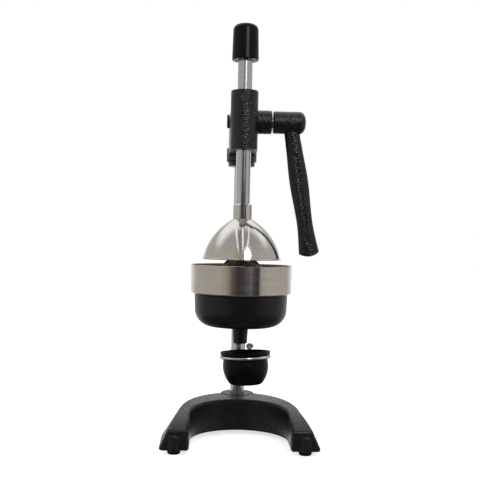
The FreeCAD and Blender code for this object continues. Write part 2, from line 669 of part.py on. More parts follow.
def shaft_bush():
    """Bronze bush in the right boss."""
    outer = cylinder(BUSH_R, (BUSH_START_X, SHAFT_Y, SHAFT_Z), (BOSS_END_X - 0.4, SHAFT_Y, SHAFT_Z))
    return outer.cut(cylinder(SHAFT_R + SLIP, (0, SHAFT_Y, SHAFT_Z), (50, SHAFT_Y, SHAFT_Z)))


def thrust_washer():
    """The washer that the end screw's head turns against."""
    face = LEFT_PAD_X - THRUST_WASHER_THICK
    outer = cylinder(THRUST_WASHER_R, (face, SHAFT_Y, SHAFT_Z), (LEFT_PAD_X, SHAFT_Y, SHAFT_Z))
    return outer.cut(cylinder(JOURNAL_R + SLIP, (-30, SHAFT_Y, SHAFT_Z), (0, SHAFT_Y, SHAFT_Z)))


def friction_screw():
    """The slotted round plug at the head's front that loads the brake spring."""
    face = FRICTION_SINK - HEAD_FRONT_R
    plug = cylinder(FRICTION_R, (0, face, FRICTION_Z), (0, face + FRICTION_LENGTH, FRICTION_Z))
    slot = block((-FRICTION_SLOT_HALF, FRICTION_SLOT_HALF), (face - 1, face + FRICTION_SLOT_DEPTH),
                 (FRICTION_Z - 7, FRICTION_Z + 7))
    return plug.cut(slot)


def friction_spring():
    """The brake spring, as a plain sleeve of its outer size."""
    start = FRICTION_SINK + FRICTION_LENGTH - HEAD_FRONT_R
    sleeve = cylinder(SPRING_R, (0, start, FRICTION_Z), (0, start + SPRING_LENGTH, FRICTION_Z))
    return sleeve.cut(cylinder(SPRING_BORE_R, (0, -40, FRICTION_Z), (0, 0, FRICTION_Z)))


def friction_pad():
    """The brake shoe, hollowed to the rod."""
    start = FRICTION_SINK + FRICTION_LENGTH + SPRING_LENGTH - HEAD_FRONT_R
    shoe = cylinder(FRICTION_R - 0.3, (0, start, FRICTION_Z), (0, 0, FRICTION_Z))
    return shoe.cut(rod_bore(ROD_R + SLIP, FRICTION_Z - 20, FRICTION_Z + 20))


def involute_point(base_r, roll):
    """A point of the involute of a circle about the origin, which starts on the +X side."""
    return (base_r * (math.cos(roll) + roll * math.sin(roll)),
            base_r * (math.sin(roll) - roll * math.cos(roll)))


def pinion_gear():
    """Eleven involute teeth about the shaft line, one of them pointing at the rack."""
    base_r = PITCH_R * math.cos(PRESSURE_ANGLE)
    half_tooth = (math.pi * MODULE / 2 - BACKLASH / 2) / 2 / PITCH_R
    flank_turn = half_tooth + math.tan(PRESSURE_ANGLE) - PRESSURE_ANGLE
    tip_roll = math.sqrt((PINION_TIP_R / base_r) ** 2 - 1)
    flank = [involute_point(base_r, tip_roll * step / 4) for step in range(5)]

    def placed(point, turn, side):
        x, y = point[0], point[1] * side
        c, s = math.cos(turn), math.sin(turn)
        return V(-PINION_HALF_WIDTH, SHAFT_Y + c * x - s * y, SHAFT_Z + s * x + c * y)

    edges = []
    pitch_turn = 2 * math.pi / TEETH
    for tooth in range(TEETH):
        middle = math.pi + pitch_turn * tooth
        rise = [placed(p, middle - flank_turn, 1) for p in flank]
        fall = [placed(p, middle + flank_turn, -1) for p in flank]
        root_in = placed((PINION_ROOT_R, 0), middle - flank_turn, 1)
        root_out = placed((PINION_ROOT_R, 0), middle + flank_turn, 1)
        next_root = placed((PINION_ROOT_R, 0), middle + pitch_turn - flank_turn, 1)
        valley = placed((PINION_ROOT_R, 0), middle + pitch_turn / 2, 1)
        tip = placed((PINION_TIP_R, 0), middle, 1)
        up, down = Part.BSplineCurve(), Part.BSplineCurve()
        up.interpolate(rise)
        down.interpolate(fall[::-1])
        edges += [
            Part.LineSegment(root_in, rise[0]).toShape(),
            up.toShape(),
            Part.Arc(rise[-1], tip, fall[-1]).toShape(),
            down.toShape(),
            Part.LineSegment(fall[0], root_out).toShape(),
            Part.Arc(root_out, valley, next_root).toShape(),
        ]
    face = Part.Face(Part.Wire(edges))
    return face.extrude(V(2 * PINION_HALF_WIDTH, 0, 0))


def pinion_shaft():
    """Shaft, gear and left journal in one piece."""
    def bar(radius, x0, x1):
        return cylinder(radius, (x0, SHAFT_Y, SHAFT_Z), (x1, SHAFT_Y, SHAFT_Z))

    right = bar(SHAFT_R, 0, SHAFT_END_X)
    right = right.makeChamfer(0.8, edges_where(right, lambda m, e: m.x > SHAFT_END_X - 0.1))
    shaft = pinion_gear().fuse([right, bar(JOURNAL_R, JOURNAL_END_X, 0)]).removeSplitter()
    dimple = cylinder(GRUB_R - 0.6, (GRUB_X, SHAFT_Y + SHAFT_R - 1, SHAFT_Z),
                      (GRUB_X, SHAFT_Y + 20, SHAFT_Z))
    return shaft.cut(bar(END_SCREW_HOLE_R, JOURNAL_END_X - 1, JOURNAL_END_X + END_SCREW_DEPTH)).cut(dimple)


def shaft_end_screw():
    """The round black head that keeps the shaft in."""
    head = cylinder(END_SCREW_R, (END_SCREW_X, SHAFT_Y, SHAFT_Z), (JOURNAL_END_X, SHAFT_Y, SHAFT_Z))
    head = head.makeFillet(END_SCREW_EDGE_R, edges_where(head, lambda m, e: m.x < END_SCREW_X + 0.1))
    shank = cylinder(END_SCREW_HOLE_R - SLIP, (JOURNAL_END_X - 1, SHAFT_Y, SHAFT_Z),
                     (JOURNAL_END_X + END_SCREW_DEPTH - 1, SHAFT_Y, SHAFT_Z))
    return head.fuse(shank).removeSplitter()


def arm_section(distance, half_width, half_thickness):
    """An oval across the handle's arm, in the arm's own frame with its axis down Z."""
    oval = Part.Ellipse(V(0, 0, -distance), half_width, half_thickness)
    return Part.Wire(oval.toShape())


def handle():
    """Hub with a domed end, and the arm that hangs from it and leans outward."""
    hub = turned(
        (0, HUB_START_X),
        (HUB_R - 1.3, HUB_START_X),
        (HUB_R, HUB_START_X + 1.3),
        (HUB_R, HUB_DOME_X),
        ((HUB_R - 3.6, HUB_END_X - 2.2), (HUB_FLAT_R, HUB_END_X)),
        (0, HUB_END_X),
    )
    hub.rotate(V(0, 0, 0), V(0, 0, 1), 180)
    hub.rotate(V(0, 0, 0), V(0, 1, 0), 90)
    hub.translate(V(0, SHAFT_Y, SHAFT_Z))
    root = Part.makeLoft([arm_section(*ARM_ROOT), arm_section(*ARM_SECTIONS[0])], True, True)
    arm = Part.makeLoft([arm_section(*s) for s in ARM_SECTIONS], True, False).fuse(root)
    end_centre = ARM_END - ARM_END_R
    keep = cylinder(ARM_END_R, (0, -20, -end_centre), (0, 20, -end_centre))
    keep = keep.fuse(block((-25, 25), (-20, 20), (-end_centre, 5)))
    arm = arm.common(keep)
    sink = ARM_CHANNEL_R - ARM_CHANNEL_DEPTH
    for side in (-1, 1):
        y = side * (sink + 8.0)
        top, low = (0, y, -ARM_CHANNEL[0]), (0, y, -ARM_CHANNEL[1])
        groove = cylinder(ARM_CHANNEL_R, top, low).fuse([
            Part.makeSphere(ARM_CHANNEL_R, V(*top)), Part.makeSphere(ARM_CHANNEL_R, V(*low))])
        arm = arm.cut(groove)
    arm.rotate(V(0, 0, 0), V(0, 1, 0), -ARM_LEAN)
    arm.translate(V(ARM_X, SHAFT_Y, SHAFT_Z))
    solid = hub.fuse(arm).removeSplitter()
    bore = cylinder(SHAFT_R + SLIP / 2, (HUB_START_X - 5, SHAFT_Y, SHAFT_Z),
                    (SHAFT_END_X + 0.4, SHAFT_Y, SHAFT_Z))
    screw_hole = cylinder(GRUB_R + SLIP, (GRUB_X, SHAFT_Y + SHAFT_R - 2, SHAFT_Z),
                          (GRUB_X, SHAFT_Y + 30, SHAFT_Z))
    return solid.cut(bore).cut(screw_hole)


def handle_grub_screw():
    """Hex-socket screw at the hub's rear, with its point in the shaft's dimple."""
    y0, y1 = SHAFT_Y + SHAFT_R + 0.1, SHAFT_Y + HUB_R - 1.0
    body = cylinder(GRUB_R, (GRUB_X, y0, SHAFT_Z), (GRUB_X, y1, SHAFT_Z))
    point = cylinder(GRUB_R - 1.0, (GRUB_X, y0 - 1.0, SHAFT_Z), (GRUB_X, y0, SHAFT_Z))
    socket = hexagon(4, (GRUB_X, y1 - 3, SHAFT_Z), (GRUB_X, y1 + 2, SHAFT_Z))
    return body.fuse(point).cut(socket).removeSplitter()


def rack_rod():
    """The bright round rod with its rack on the rear side."""
    bar = cylinder(ROD_R, (0, 0, BELL_TOP_Z + BELL_WALL / 2), (0, 0, ROD_TOP_Z))
    pitch = math.pi * MODULE
    low = SHAFT_Z + (RACK_SPACES[0] - 0.5) * pitch
    high = SHAFT_Z + (RACK_SPACES[-1] + 0.5) * pitch
    flat = block((-15, 15), (RACK_TIP_Y, 15), (low, high))
    slope = math.tan(PRESSURE_ANGLE)
    half_pitch = (pitch / 2 + BACKLASH / 2) / 2
    half_root = half_pitch - (RACK_PITCH_Y - RACK_ROOT_Y) * slope
    half_open = half_pitch + (12.0 - RACK_PITCH_Y) * slope
    spaces = []
    for index in RACK_SPACES:
        z = SHAFT_Z + index * pitch
        spaces.append(prism([(RACK_ROOT_Y, z - half_root), (12.0, z - half_open),
                             (12.0, z + half_open), (RACK_ROOT_Y, z + half_root)],
                            lambda y, h: V(-15, y, h), V(30, 0, 0)))
    thread = cylinder(BELL_BOLT_R, (0, 0, 300), (0, 0, BELL_TOP_Z + 20))
    return bar.cut(flat).cut(Part.makeCompound(spaces)).cut(thread)


def rod_cap():
    """The black cap on top of the rod, with a round top edge."""
    centre = (CAP_TOP_R - CAP_EDGE_R, CAP_TOP_Z - CAP_EDGE_R)
    return turned(
        (ROD_R + SLIP / 2, CAP_BOTTOM_Z),
        (CAP_BOTTOM_R - 1.2, CAP_BOTTOM_Z),
        ((CAP_BOTTOM_R - 0.35, CAP_BOTTOM_Z + 0.35), (CAP_BOTTOM_R, CAP_BOTTOM_Z + 1.2)),
        (CAP_TOP_R, centre[1]),
        (arc_point(centre, CAP_EDGE_R, 45), (centre[0], CAP_TOP_Z)),
        (0, CAP_TOP_Z + CAP_CROWN),
        (0, ROD_TOP_Z),
        (ROD_R + SLIP / 2, ROD_TOP_Z),
    )


def press_bell():
    """The bell: one arc from rim to top, a flat top with a bolt hole, and a rolled rim."""
    outer = turned((0, BELL_RIM_Z), (BELL_RIM_R, BELL_RIM_Z),
                   (BELL_MID, (COLLAR_R, BELL_TOP_Z)), (0, BELL_TOP_Z))
    lean = math.radians(BELL_MID_LEAN)
    mid_in = (BELL_MID[0] - BELL_WALL * math.cos(lean), BELL_MID[1] - BELL_WALL * math.sin(lean))
    roof = BELL_TOP_Z - BELL_ROOF
    inner = turned((0, BELL_RIM_Z - 1), (BELL_RIM_R - BELL_WALL, BELL_RIM_Z - 1),
                   (BELL_RIM_R - BELL_WALL, BELL_RIM_Z),
                   (mid_in, (COLLAR_R - 0.5, roof)), (0, roof))
    roll = BELL_RIM_ROLL_R
    rim = Part.makeTorus(BELL_RIM_R - 0.75, roll, V(0, 0, BELL_RIM_Z + roll), V(0, 0, 1))
    hole = cylinder(BELL_BOLT_R + 0.1, (0, 0, 290), (0, 0, 320))
    return outer.cut(inner).fuse(rim).cut(hole)


def bell_collar():
    """The turned collar that backs the bell, on the rod's lower end."""
    return turned(
        (ROD_R + SLIP / 2, BELL_TOP_Z),
        (COLLAR_R, BELL_TOP_Z),
        (COLLAR_R, COLLAR_TOP_Z - 1.5),
        (COLLAR_R - 1.5, COLLAR_TOP_Z),
        (ROD_R + SLIP / 2, COLLAR_TOP_Z),
    )


def bell_washer():
    """The washer under the bell's roof."""
    top = BELL_TOP_Z - BELL_ROOF
    return tube(BELL_WASHER_R, BELL_BOLT_R + 0.1, top - BELL_WASHER, top)


def bell_bolt():
    """The bolt up into the rod from inside the bell."""
    under = BELL_TOP_Z - BELL_ROOF - BELL_WASHER
    head = hexagon(BELL_BOLT_ACROSS, (0, 0, under - BELL_BOLT_HEAD), (0, 0, under))
    shank = cylinder(BELL_BOLT_R - SLIP, (0, 0, under - 1), (0, 0, BELL_TOP_Z + 18))
    return head.fuse(shank).removeSplitter()


def tilted(shape):
    """The stem is bent: the ring and cup rise towards the front and hang lower on the left."""
    centre = (RING_CENTRE_X, 0, RING_Z)
    risen = turn_about(shape, centre, (1, 0, 0), -DRIP_RISE)
    return turn_about(risen, centre, (0, 1, 0), -DRIP_TILT)


def drip_collar():
    """The collar on the column, with the hole for the wing screw and for the ring's stem."""
    z0, z1 = DRIP_COLLAR_Z
    collar = cylinder(DRIP_COLLAR_R, (0, COLUMN_Y, z0), (0, COLUMN_Y, z1))
    collar = collar.makeChamfer(0.8, edges_where(collar, lambda m, e: e.Length > 60))
    bore = cylinder(COLUMN_R + SLIP, (0, COLUMN_Y, z0 - 5), (0, COLUMN_Y, z1 + 5))
    thread = cylinder(WING_SCREW_R + SLIP, (0, COLUMN_Y, WING_SCREW_Z), (30, COLUMN_Y, WING_SCREW_Z))
    return collar.cut(bore).cut(thread)


def drip_ring():
    """The wire ring, and the stem that joins it to the collar."""
    ring = tilted(Part.makeTorus(RING_OUTER_R - WIRE_R, WIRE_R, V(RING_CENTRE_X, 0, RING_Z), V(0, 0, 1)))
    joint_y = COLUMN_Y - DRIP_COLLAR_R
    low = (0.4, joint_y + 0.4, WING_SCREW_Z)
    bend = (1.6, joint_y - 14, WING_SCREW_Z + 0.5)
    high = (RING_CENTRE_X - 1.5, RING_OUTER_R - WIRE_R, RING_Z)
    stem = cylinder(STEM_R, low, bend)
    stem = stem.fuse([Part.makeSphere(STEM_R, V(*bend)), cylinder(STEM_R, bend, high)])
    inside = cylinder(RING_OUTER_R - 2 * WIRE_R, (RING_CENTRE_X, 0, 60), (RING_CENTRE_X, 0, 170))
    collar_room = cylinder(DRIP_COLLAR_R, (0, COLUMN_Y, 60), (0, COLUMN_Y, 170))
    return ring.fuse(stem.cut(inside)).cut(collar_room).removeSplitter()


def wing_screw():
    """The screw along X with its two wings, which lean back from upright."""
    y, z = COLUMN_Y, WING_SCREW_Z
    shank = cylinder(WING_SCREW_R, (COLUMN_R + 0.35, y, z), (WING_START_X + 1, y, z))
    hub = cylinder(WING_HUB_R, (WING_START_X, y, z), (WING_START_X + WING_HUB_LENGTH, y, z))
    root, neck, tip = WING_START_X + 0.6, WING_START_X + WING_HUB_LENGTH, z + WING_SPAN
    ear = outline((root, z), [
        (root, z + 7.5),
        (WING_INNER_X, z + 10.5),
        ((WING_INNER_X + 0.8, tip - 2.2), (WING_INNER_X + 4.5, tip)),
        ((WING_END_X - 2.3, tip - 0.9), (WING_END_X, tip - 3.6)),
        ((WING_END_X - 0.9, tip - 6.2), (WING_END_X - 3.2, tip - 7.6)),
        (neck, z + 2.0),
        (neck, z),
    ], lambda x, h: V(x, y - WING_HALF_THICKNESS, h))
    wing = Part.Face(ear).extrude(V(0, 2 * WING_HALF_THICKNESS, 0))
    rim = edges_where(wing, lambda m, e: m.z > tip - 6.0 and abs(abs(m.y - y) - WING_HALF_THICKNESS) < 0.1)
    wing = wing.makeFillet(WING_EDGE_R, rim)
    other = turn_about(wing, (0, y, z), (1, 0, 0), 180)
    screw = shank.fuse([hub, wing, other]).removeSplitter()
    return turn_about(screw, (0, y, z), (1, 0, 0), -WING_LEAN)


def drip_cup():
    """The black cup, with a thin flared rim that sits on the ring."""
    ring_top = RING_Z + WIRE_R - 0.45
    wall = CUP_WALL
    cup = turned(
        (0, CUP_BOTTOM_Z),
        (CUP_BOTTOM_R - 3, CUP_BOTTOM_Z),
        (CUP_BOTTOM_R, CUP_BOTTOM_Z + 1.4),
        (CUP_MID, (CUP_BODY_R, RING_Z - 6)),
        (CUP_BODY_R, ring_top),
        (CUP_RIM_R - 0.6, ring_top + 1.2),
        (CUP_RIM_R, CUP_RIM_Z - 0.6),
        ((CUP_RIM_R - 0.6, CUP_RIM_Z), (CUP_RIM_R - 1.2, CUP_RIM_Z - 0.6)),
        (CUP_BODY_R - wall, ring_top + 1.2),
        (CUP_BODY_R - wall, RING_Z - 6),
        ((CUP_MID[0] - wall, CUP_MID[1] + 0.6), (CUP_BOTTOM_R - wall, CUP_BOTTOM_Z + 3.2)),
        (CUP_BOTTOM_R - wall - 3, CUP_BOTTOM_Z + 2.0),
        (0, CUP_BOTTOM_Z + 2.0),
    )
    cup.translate(V(RING_CENTRE_X, 0, 0))
    return tilted(cup)


SUB_PARTS = [
    base, rubber_feet, foot_screws, column, column_washer, column_nut,
    bowl_casting, bowl_clamp_bolt, bowl_clamp_nut, steel_band, strainer_cone,
    head_casting, head_set_screws, shaft_bush, thrust_washer,
    friction_screw, friction_spring, friction_pad,
    pinion_shaft, handle, handle_grub_screw, shaft_end_screw,
    rack_rod, rod_cap, press_bell, bell_collar, bell_washer, bell_bolt,
    drip_collar, drip_ring, wing_screw, drip_cup,
]

os.makedirs("parts", exist_ok=True)
for make in SUB_PARTS:
    save(make.__name__, make())
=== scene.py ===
import math

import bpy
from bpy.props import FloatProperty, FloatVectorProperty, IntProperty, PointerProperty
from bpy.types import Operator, Panel, PropertyGroup
from mathutils import Matrix, Vector


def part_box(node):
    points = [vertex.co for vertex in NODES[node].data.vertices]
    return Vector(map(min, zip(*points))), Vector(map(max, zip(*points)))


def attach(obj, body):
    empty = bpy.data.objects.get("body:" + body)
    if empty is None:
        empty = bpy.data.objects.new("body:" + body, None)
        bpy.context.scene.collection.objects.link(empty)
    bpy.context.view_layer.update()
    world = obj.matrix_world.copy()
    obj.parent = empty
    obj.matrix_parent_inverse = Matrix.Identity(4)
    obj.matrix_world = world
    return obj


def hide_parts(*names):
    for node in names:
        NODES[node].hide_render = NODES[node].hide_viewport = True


bl_info = {
    "name": "Lever Citrus Press",
    "version": (1, 0, 0),
    "blender": (4, 5, 0),
    "location": "View3D > Sidebar > Citrus Press",
    "description": "Finishes and fine pieces of a lever citrus juice press round its fixed frame",
    "category": "Add Mesh",
}

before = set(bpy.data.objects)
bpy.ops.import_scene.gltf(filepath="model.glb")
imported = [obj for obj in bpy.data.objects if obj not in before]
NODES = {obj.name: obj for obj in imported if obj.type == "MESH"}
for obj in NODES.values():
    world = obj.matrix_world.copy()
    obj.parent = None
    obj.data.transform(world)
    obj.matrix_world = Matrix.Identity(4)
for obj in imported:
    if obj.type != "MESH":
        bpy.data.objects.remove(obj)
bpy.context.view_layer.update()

# The picture is 480 pixels wide, with a focal length of 780 pixels, on a 36 mm sensor
PICTURE_SIZE = 480.0
FOCAL_PIXELS = 780.0
SENSOR = 36.0

# Where the bell's axis stands, and how high the middle of the press is
BELL_AXIS = (0.0, 0.0)
MIDDLE_HEIGHT = 0.3

# How near and how far the camera sees
NEAR_CLIP = 0.01
FAR_CLIP = 50.0

# The floor's own light in the camera's view, which keeps its pale colour white round the shadow
FLOOR_GLOW = 0.7
WHITE = (1.0, 1.0, 1.0)

# Sockets of the Mix node when it mixes colours
MIX_FACTOR, MIX_FIRST, MIX_SECOND, MIX_RESULT = 0, 6, 7, 2

# Grain and relief of turned and plated metal, in metres
TURNED_GRAIN = 0.0007
TURNED_RELIEF = 0.00001

# Steps round one turn of a wound wire, and sides of its section as a thread and as a spring
WIRE_STEPS = 40
THREAD_SIDES = 4
SPRING_SIDES = 10

# Steps round a grip ring, sides of its section, height of the lowest ring, and rise to the next
RING_STEPS = 64
RING_SIDES = 10
RING_START = 0.0024
RING_RISE = 0.0013

# The clamp bolt's thread: its radius, and how far it stays from the bolt's end and from the nut
CLAMP_THREAD_R = 0.003
CLAMP_THREAD_FROM_END = 0.0004
CLAMP_THREAD_FROM_NUT = 0.0002


class PressView(PropertyGroup):
    """Where the camera stands."""
    distance: FloatProperty(name="Distance", description="Camera to bell axis", default=1.072,
                            unit="LENGTH")
    side: FloatProperty(name="Side", description="Camera's X", default=-0.036, unit="LENGTH")
    height: FloatProperty(name="Height", description="Camera above the counter", default=0.2767,
                          unit="LENGTH")
    yaw: FloatProperty(name="Yaw", description="Camera turned towards the handle side",
                       default=math.radians(1.777), subtype="ANGLE")
    roll: FloatProperty(name="Roll", description="Camera turned about its own axis",
                        default=math.radians(1.10), subtype="ANGLE")


class PressStudio(PropertyGroup):
    """Floor, lamps and surroundings."""
    floor_size: FloatProperty(name="Floor", description="Side of the floor", default=9.0,
                              unit="LENGTH")
    floor_colour: FloatVectorProperty(name="Floor colour", description="Pale floor",
                                      subtype="COLOR", default=(0.86, 0.86, 0.86))
    ambient: FloatProperty(name="Ambient", description="Even light from all round", default=0.62)
    key_power: FloatProperty(name="Front lamp", description="Soft box above the camera's right",
                             default=5.0, unit="POWER")
    left_power: FloatProperty(name="Left lamp", description="Wide lamp on the left", default=7.0,
                              unit="POWER")
    top_power: FloatProperty(name="Top lamp", description="Wide lamp overhead", default=5.0,
                             unit="POWER")


class PressFinish(PropertyGroup):
    """Colours and surface detail of the finishes."""
    casting_paint: FloatVectorProperty(name="Hammer paint", description="Head and handle",
                                       subtype="COLOR", default=(0.0022, 0.0022, 0.0024))
    base_paint: FloatVectorProperty(name="Base paint", description="Horseshoe base",
                                    subtype="COLOR", default=(0.0035, 0.0035, 0.004))
    bowl_paint: FloatVectorProperty(name="Bowl paint", description="Bowl casting",
                                    subtype="COLOR", default=(0.003, 0.003, 0.0034))
    polished: FloatVectorProperty(name="Polished steel", description="Bell and collar",
                                  subtype="COLOR", default=(0.62, 0.60, 0.575))
    brushed: FloatVectorProperty(name="Brushed steel", description="Band, strainer and cone",
                                 subtype="COLOR", default=(0.56, 0.53, 0.49))
    plated: FloatVectorProperty(name="Plated steel", description="Column and rack rod",
                                subtype="COLOR", default=(0.58, 0.60, 0.64))
    cell: FloatProperty(name="Hammer cell", description="Width of one hammer paint cell",
                        default=0.0023, unit="LENGTH", precision=4)
    cell_depth: FloatProperty(name="Cell depth", description="Depth of the hammer paint cells",
                              default=0.00034, unit="LENGTH", precision=5)
    brush_pitch: FloatProperty(name="Brush pitch", description="Spacing of the brushed lines",
                               default=0.0006, unit="LENGTH", precision=4)


class PressHardware(PropertyGroup):
    """Sizes of the clamp bolt's thread, the brake spring and the grip rings."""
    thread_pitch: FloatProperty(name="Thread pitch", description="Pitch of the small screws",
                                default=0.001, unit="LENGTH", precision=4)
    thread_height: FloatProperty(name="Thread height", description="How far a thread stands out",
                                 default=0.00025, unit="LENGTH", precision=5)
    spring_turns: IntProperty(name="Spring turns", description="Turns of the brake spring",
                              default=2)
    spring_wire: FloatProperty(name="Spring wire", description="Wire radius of the brake spring",
                               default=0.00034, unit="LENGTH", precision=5)
    foot_rings: IntProperty(name="Foot rings", description="Grip rings round each rubber foot",
                            default=3)
    foot_ring_wire: FloatProperty(name="Ring radius", description="Section radius of a grip ring",
                                  default=0.00045, unit="LENGTH", precision=5)


# Shader building

def new_node(tree, kind, **settings):
    """Adds one node with its settings."""
    node = tree.nodes.new(kind)
    for name, value in settings.items():
        setattr(node, name, value)
    return node


def feed(tree, target, source):
    """Feeds a node's input from another node's output, or sets it to a plain value."""
    if isinstance(source, bpy.types.NodeSocket):
        tree.links.new(source, target)
    else:
        target.default_value = source


def math_node(tree, operation, *values, clamp=False):
    """A Math node's result."""
    node = new_node(tree, "ShaderNodeMath", operation=operation, use_clamp=clamp)
    for socket, value in zip(node.inputs, values):
        feed(tree, socket, value)
    return node.outputs[0]


def remap(tree, value, low, high, to_low, to_high, smooth=False):
    """The value stretched from one range to another, and held at the ends."""
    node = new_node(tree, "ShaderNodeMapRange")
    if smooth:
        node.interpolation_type = "SMOOTHSTEP"
    for socket, given in zip(node.inputs, (value, low, high, to_low, to_high)):
        feed(tree, socket, given)
    return node.outputs[0]


def fade(tree, value, start, end):
    """Nought at start and one at end, with soft ends."""
    return remap(tree, value, start, end, 0.0, 1.0, smooth=True)


def near(tree, value, centre, full, gone):
    """One within full of the centre, fading to nought at gone."""
    away = math_node(tree, "ABSOLUTE", math_node(tree, "SUBTRACT", value, centre))
    return remap(tree, away, full, gone, 1.0, 0.0, smooth=True)


def ramp(tree, value, *stops):
    """A colour ramp of (place, colour or grey) stops."""
    node = new_node(tree, "ShaderNodeValToRGB")
    elements = node.color_ramp.elements
    while len(elements) < len(stops):
        elements.new(0.5)
    for element, (place, colour) in zip(elements, stops):
        element.position = place
        grey = not hasattr(colour, "__len__")
        element.color = (colour, colour, colour, 1.0) if grey else (*colour, 1.0)
    feed(tree, node.inputs[0], value)
    return node.outputs[0]


def mix_colour(tree, factor, first, second):
    """A mix of two colours."""
    node = new_node(tree, "ShaderNodeMix", data_type="RGBA")
    feed(tree, node.inputs[MIX_FACTOR], factor)
    for socket, colour in ((node.inputs[MIX_FIRST], first), (node.inputs[MIX_SECOND], second)):
        if not isinstance(colour, bpy.types.NodeSocket) and len(colour) == 3:
            colour = (*colour, 1.0)
        feed(tree, socket, colour)
    return node.outputs[MIX_RESULT]


def noise(tree, vector, scale, detail=2.0, roughness=0.5):
    """A noise texture's value."""
    node = new_node(tree, "ShaderNodeTexNoise")
    feed(tree, node.inputs["Vector"], vector)
    feed(tree, node.inputs["Scale"], scale)
    node.inputs["Detail"].default_value = detail
    node.inputs["Roughness"].default_value = roughness
    return node.outputs["Fac"]


def scaled(tree, vector, factors):
    """The vector stretched along each axis."""
    node = new_node(tree, "ShaderNodeVectorMath", operation="MULTIPLY")
    feed(tree, node.inputs[0], vector)
    feed(tree, node.inputs[1], factors)
    return node.outputs[0]


def new_group(name, inputs, outputs):
    """An empty shader group with one Vector input, float inputs and float outputs."""
    group = bpy.data.node_groups.new(name, "ShaderNodeTree")
    sockets = group.interface
    sockets.new_socket(name="Vector", in_out="INPUT", socket_type="NodeSocketVector")
    for label, default in inputs:
        socket = sockets.new_socket(name=label, in_out="INPUT", socket_type="NodeSocketFloat")
        socket.default_value = default
    for label in outputs:
        sockets.new_socket(name=label, in_out="OUTPUT", socket_type="NodeSocketFloat")
    given = new_node(group, "NodeGroupInput").outputs
    return group, given, new_node(group, "NodeGroupOutput").inputs


def shared(name, build):
    """The shader group of that name, built on first use."""
    return bpy.data.node_groups.get(name) or build(name)


def hammer_paint(name):
    """Rounded paint cells of uneven size with thin valleys between them."""
    drift_scale, drift_reach, swell_scale, cell_reach = 0.55, 0.9, 0.42, 0.75
    group, given, out = new_group(name, [("Cell", 0.0023), ("Unevenness", 0.5)],
                                  ["Height", "Valley"])
    per_metre = math_node(group, "DIVIDE", 1.0, given["Cell"])
    drift = new_node(group, "ShaderNodeTexNoise")
    feed(group, drift.inputs["Vector"], given["Vector"])
    feed(group, drift.inputs["Scale"], math_node(group, "MULTIPLY", per_metre, drift_scale))
    pull = new_node(group, "ShaderNodeVectorMath", operation="SCALE")
    feed(group, pull.inputs[0], drift.outputs["Color"])
    feed(group, pull.inputs["Scale"], math_node(group, "MULTIPLY", given["Cell"], drift_reach))
    moved = new_node(group, "ShaderNodeVectorMath", operation="ADD")
    feed(group, moved.inputs[0], given["Vector"])
    feed(group, moved.inputs[1], pull.outputs[0])
    cells = new_node(group, "ShaderNodeTexVoronoi", feature="SMOOTH_F1")
    feed(group, cells.inputs["Vector"], moved.outputs[0])
    feed(group, cells.inputs["Scale"], per_metre)
    cells.inputs["Smoothness"].default_value = 0.35
    dome = remap(group, cells.outputs["Distance"], 0.0, cell_reach, 1.0, 0.0, smooth=True)
    swell = noise(group, given["Vector"], math_node(group, "MULTIPLY", per_metre, swell_scale))
    uneven = math_node(group, "MULTIPLY", swell, given["Unevenness"])
    feed(group, out["Height"], math_node(group, "ADD", dome, uneven))
    feed(group, out["Valley"], math_node(group, "SUBTRACT", 1.0, dome, clamp=True))
    return group


def brushed_lines(name):
    """Fine lines that run round the Z axis, uneven in depth."""
    fine_stretch, coarse_stretch = (0.004, 0.004, 1.0), (0.02, 0.02, 1.0)
    coarse_scale, coarse_share = 0.16, 0.6
    group, given, out = new_group(name, [("Pitch", 0.0006)], ["Height", "Streak"])
    per_metre = math_node(group, "DIVIDE", 1.0, given["Pitch"])
    fine = noise(group, scaled(group, given["Vector"], fine_stretch), per_metre,
                 detail=3.0, roughness=0.7)
    coarse = noise(group, scaled(group, given["Vector"], coarse_stretch),
                   math_node(group, "MULTIPLY", per_metre, coarse_scale), roughness=0.6)
    feed(group, out["Height"], math_node(group, "MULTIPLY_ADD", coarse, coarse_share, fine))
    feed(group, out["Streak"], remap(group, coarse, 0.3, 0.7, 0.0, 1.0))
    return group


def drawn_lines(name):
    """Fine lines along the Z axis, as on a drawn and ground bar."""
    fine_stretch, coarse_stretch = (1.0, 1.0, 0.01), (1.0, 1.0, 0.04)
    coarse_scale = 0.2
    group, given, out = new_group(name, [("Pitch", 0.0004)], ["Height", "Streak"])
    per_metre = math_node(group, "DIVIDE", 1.0, given["Pitch"])
    fine = noise(group, scaled(group, given["Vector"], fine_stretch), per_metre, roughness=0.6)
    coarse = noise(group, scaled(group, given["Vector"], coarse_stretch),
                   math_node(group, "MULTIPLY", per_metre, coarse_scale), roughness=0.6)
    feed(group, out["Height"], fine)
    feed(group, out["Streak"], remap(group, coarse, 0.3, 0.7, 0.0, 1.0))
    return group


def surface_grain(name):
    """Fine round grain, as on satin paint, moulded plastic and rubber."""
    speck_scale = 0.31
    group, given, out = new_group(name, [("Size", 0.001)], ["Height", "Speck"])
    per_metre = math_node(group, "DIVIDE", 1.0, given["Size"])
    grain = noise(group, given["Vector"], per_metre, detail=3.0, roughness=0.55)
    specks = noise(group, given["Vector"], math_node(group, "MULTIPLY", per_metre, speck_scale),
                   detail=4.0, roughness=0.7)
    feed(group, out["Height"], grain)
    feed(group, out["Speck"], remap(group, specks, 0.62, 0.72, 0.0, 1.0))
    return group


